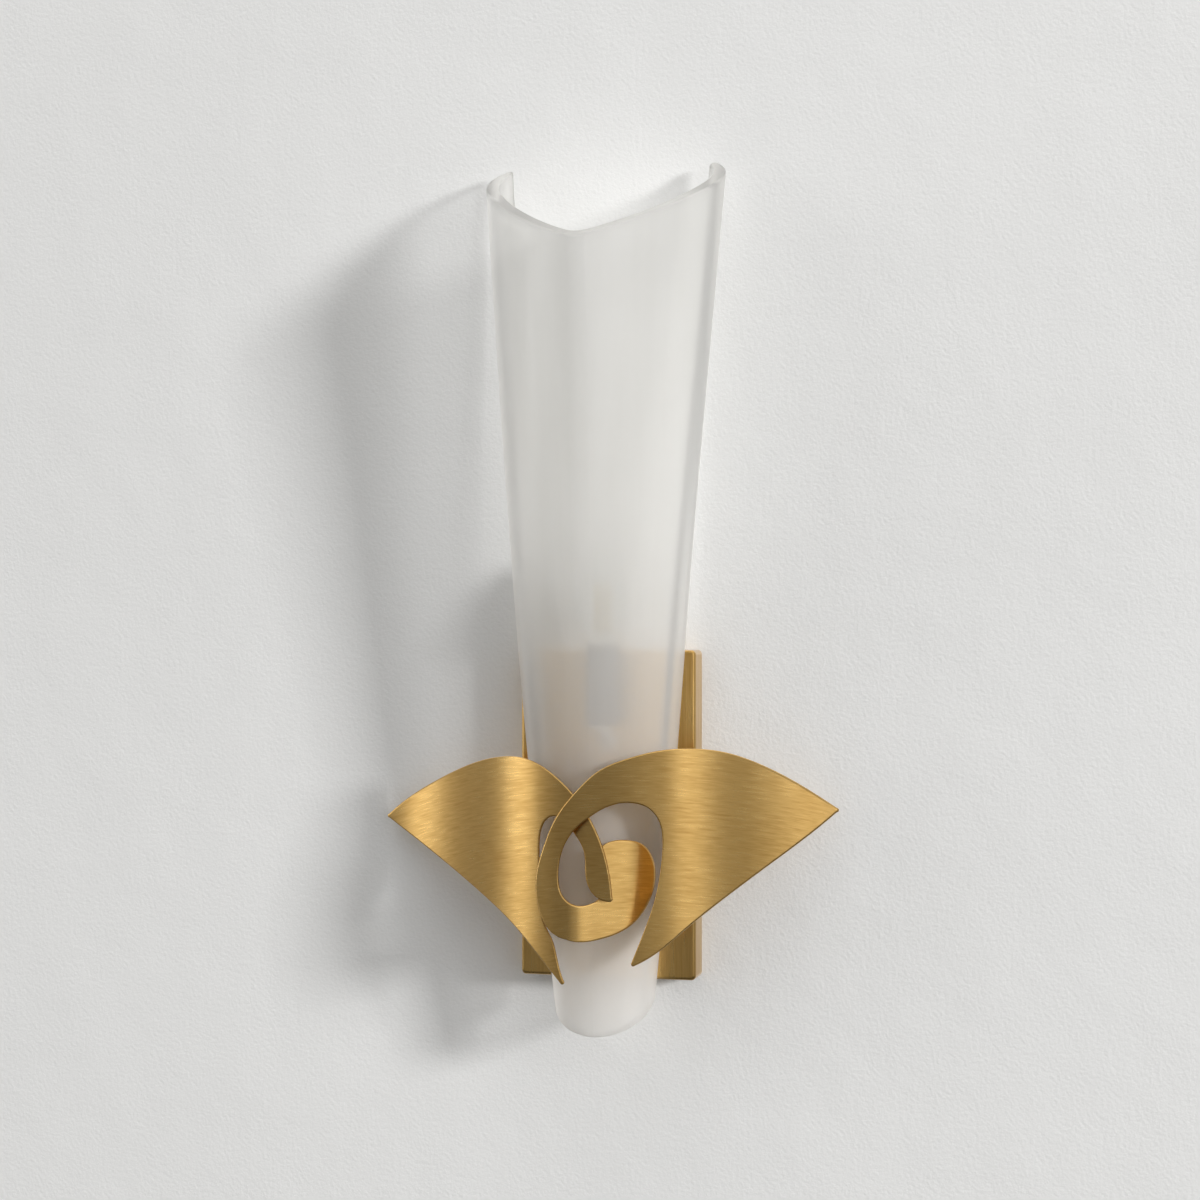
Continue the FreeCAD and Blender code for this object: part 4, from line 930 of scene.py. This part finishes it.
def soft_box(name, azimuth, elevation, distance, size, radiance, seen=True):
    """Flat lamp that faces the sconce. Its power gives the radiance that a mirror would show."""
    a = math.radians(azimuth)
    e = math.radians(elevation)
    away = Vector((math.sin(a) * math.cos(e), -math.cos(a) * math.cos(e), math.sin(e)))
    data = bpy.data.lights.new(name, "AREA")
    data.shape = "RECTANGLE"
    data.size, data.size_y = size
    data.energy = radiance * math.pi * size[0] * size[1]
    lamp = bpy.data.objects.new(name, data)
    lamp.location = Vector(LAMP_AIM) + away * distance
    lamp.rotation_euler = away.to_track_quat("Z", "Y").to_euler()
    lamp.visible_camera = False
    lamp.visible_glossy = seen
    lamp.visible_transmission = seen
    scene.collection.objects.link(lamp)


def window(tree, azimuth, centre, half, soft):
    """One inside a band of azimuth and none outside it, in degrees."""
    away = math_node(tree, "ABSOLUTE", minus(tree, azimuth, math.radians(centre)))
    return spread(tree, away, 1, 0, math.radians(half - soft), math.radians(half + soft))


def room_light():
    """A pale room: dim straight ahead of the wall, with tall bright windows to each side of it.

    The camera sees a plain background in its place, also where glass refracts the view. Reflections show
    the room.
    """
    world = bpy.data.worlds.new("pale_room")
    world.use_nodes = True
    tree = world.node_tree
    ground = tree.nodes["Background"]
    where = tree.nodes.new("ShaderNodeTexCoord")
    x, y, z = axes(tree, where.outputs["Generated"])
    level = plus(tree, times(tree, math_node(tree, "MAXIMUM", y, 0.0), BEHIND_LEVEL), ROOM_LEVEL)
    horizon = spread(tree, math_node(tree, "ABSOLUTE", z), HORIZON_LEVEL, 0.0, 0.0, HORIZON_REACH)
    level = plus(tree, level, horizon)
    above = math_node(tree, "POWER", math_node(tree, "MAXIMUM", z, 0.0), 3.0)
    level = plus(tree, level, times(tree, above, CEILING_LEVEL))
    below = times(tree, math_node(tree, "MINIMUM", z, 0.0), FLOOR_SLOPE)
    level = plus(tree, level, math_node(tree, "MAXIMUM", below, FLOOR_DROP))
    azimuth = math_node(tree, "ARCTAN2", x, times(tree, y, -1.0))
    tall = times(tree, spread(tree, z, 0, 1, *WINDOW_FOOT), spread(tree, z, 1, 0, *WINDOW_HEAD))
    for centre, half, soft, strength in WINDOWS:
        band = times(tree, window(tree, azimuth, centre, half, soft), tall)
        level = plus(tree, level, times(tree, band, strength))
    path = tree.nodes.new("ShaderNodeLightPath")
    unscattered = minus(tree, 1.0, path.outputs["Is Diffuse Ray"])
    refracted = times(tree, path.outputs["Is Transmission Ray"], unscattered)
    plain = math_node(tree, "MAXIMUM", path.outputs["Is Camera Ray"], refracted)
    level = times(tree, level, minus(tree, 1.0, plain))
    level = plus(tree, level, times(tree, plain, BACKGROUND_LEVEL))
    link(tree, level, ground.inputs["Strength"])
    ground.inputs["Color"].default_value = (*ROOM_TINT, 1)
    scene.world = world


def build_light():
    """The room, a far key lamp that no reflection or refraction shows, and a strip from above."""
    room_light()
    soft_box("far_key", 65.0, 12.0, distance=12.0, size=(1.75, 1.75), radiance=139.0, seen=False)
    soft_box("top_strip", 20.0, 62.0, distance=1.8, size=(0.9, 0.22), radiance=1.6)


def build_camera():
    data = bpy.data.cameras.new("photo_camera")
    data.sensor_width = 36.0
    data.lens = CAMERA_LENS
    data.clip_end = 50.0
    camera = bpy.data.objects.new("photo_camera", data)
    camera.location = CAMERA_PLACE
    camera.rotation_euler = (math.radians(90), 0, math.radians(CAMERA_TURN))
    scene.collection.objects.link(camera)
    scene.camera = camera


# ------------------------------------------------------------------ assembly
build_camera()
build_stage()
build_light()
finishes = make_materials()

for node in frame["nodes"].values():
    for index, old in enumerate(node.data.materials):
        node.data.materials[index] = finishes[old.name.split(".")[0]]

for piece, node in ((scroll_piece(), "scroll_fin"), (horn_piece(), "horn_fin")):
    piece.data.materials.append(finishes["brass_fins"])
    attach(piece, "fixture")
    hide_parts(node)

shell = build_glass()
shell.data.materials.append(finishes["frosted_glass"])
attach(shell, "fixture")
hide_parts("glass_shade")

scene.view_settings.view_transform = "Standard"
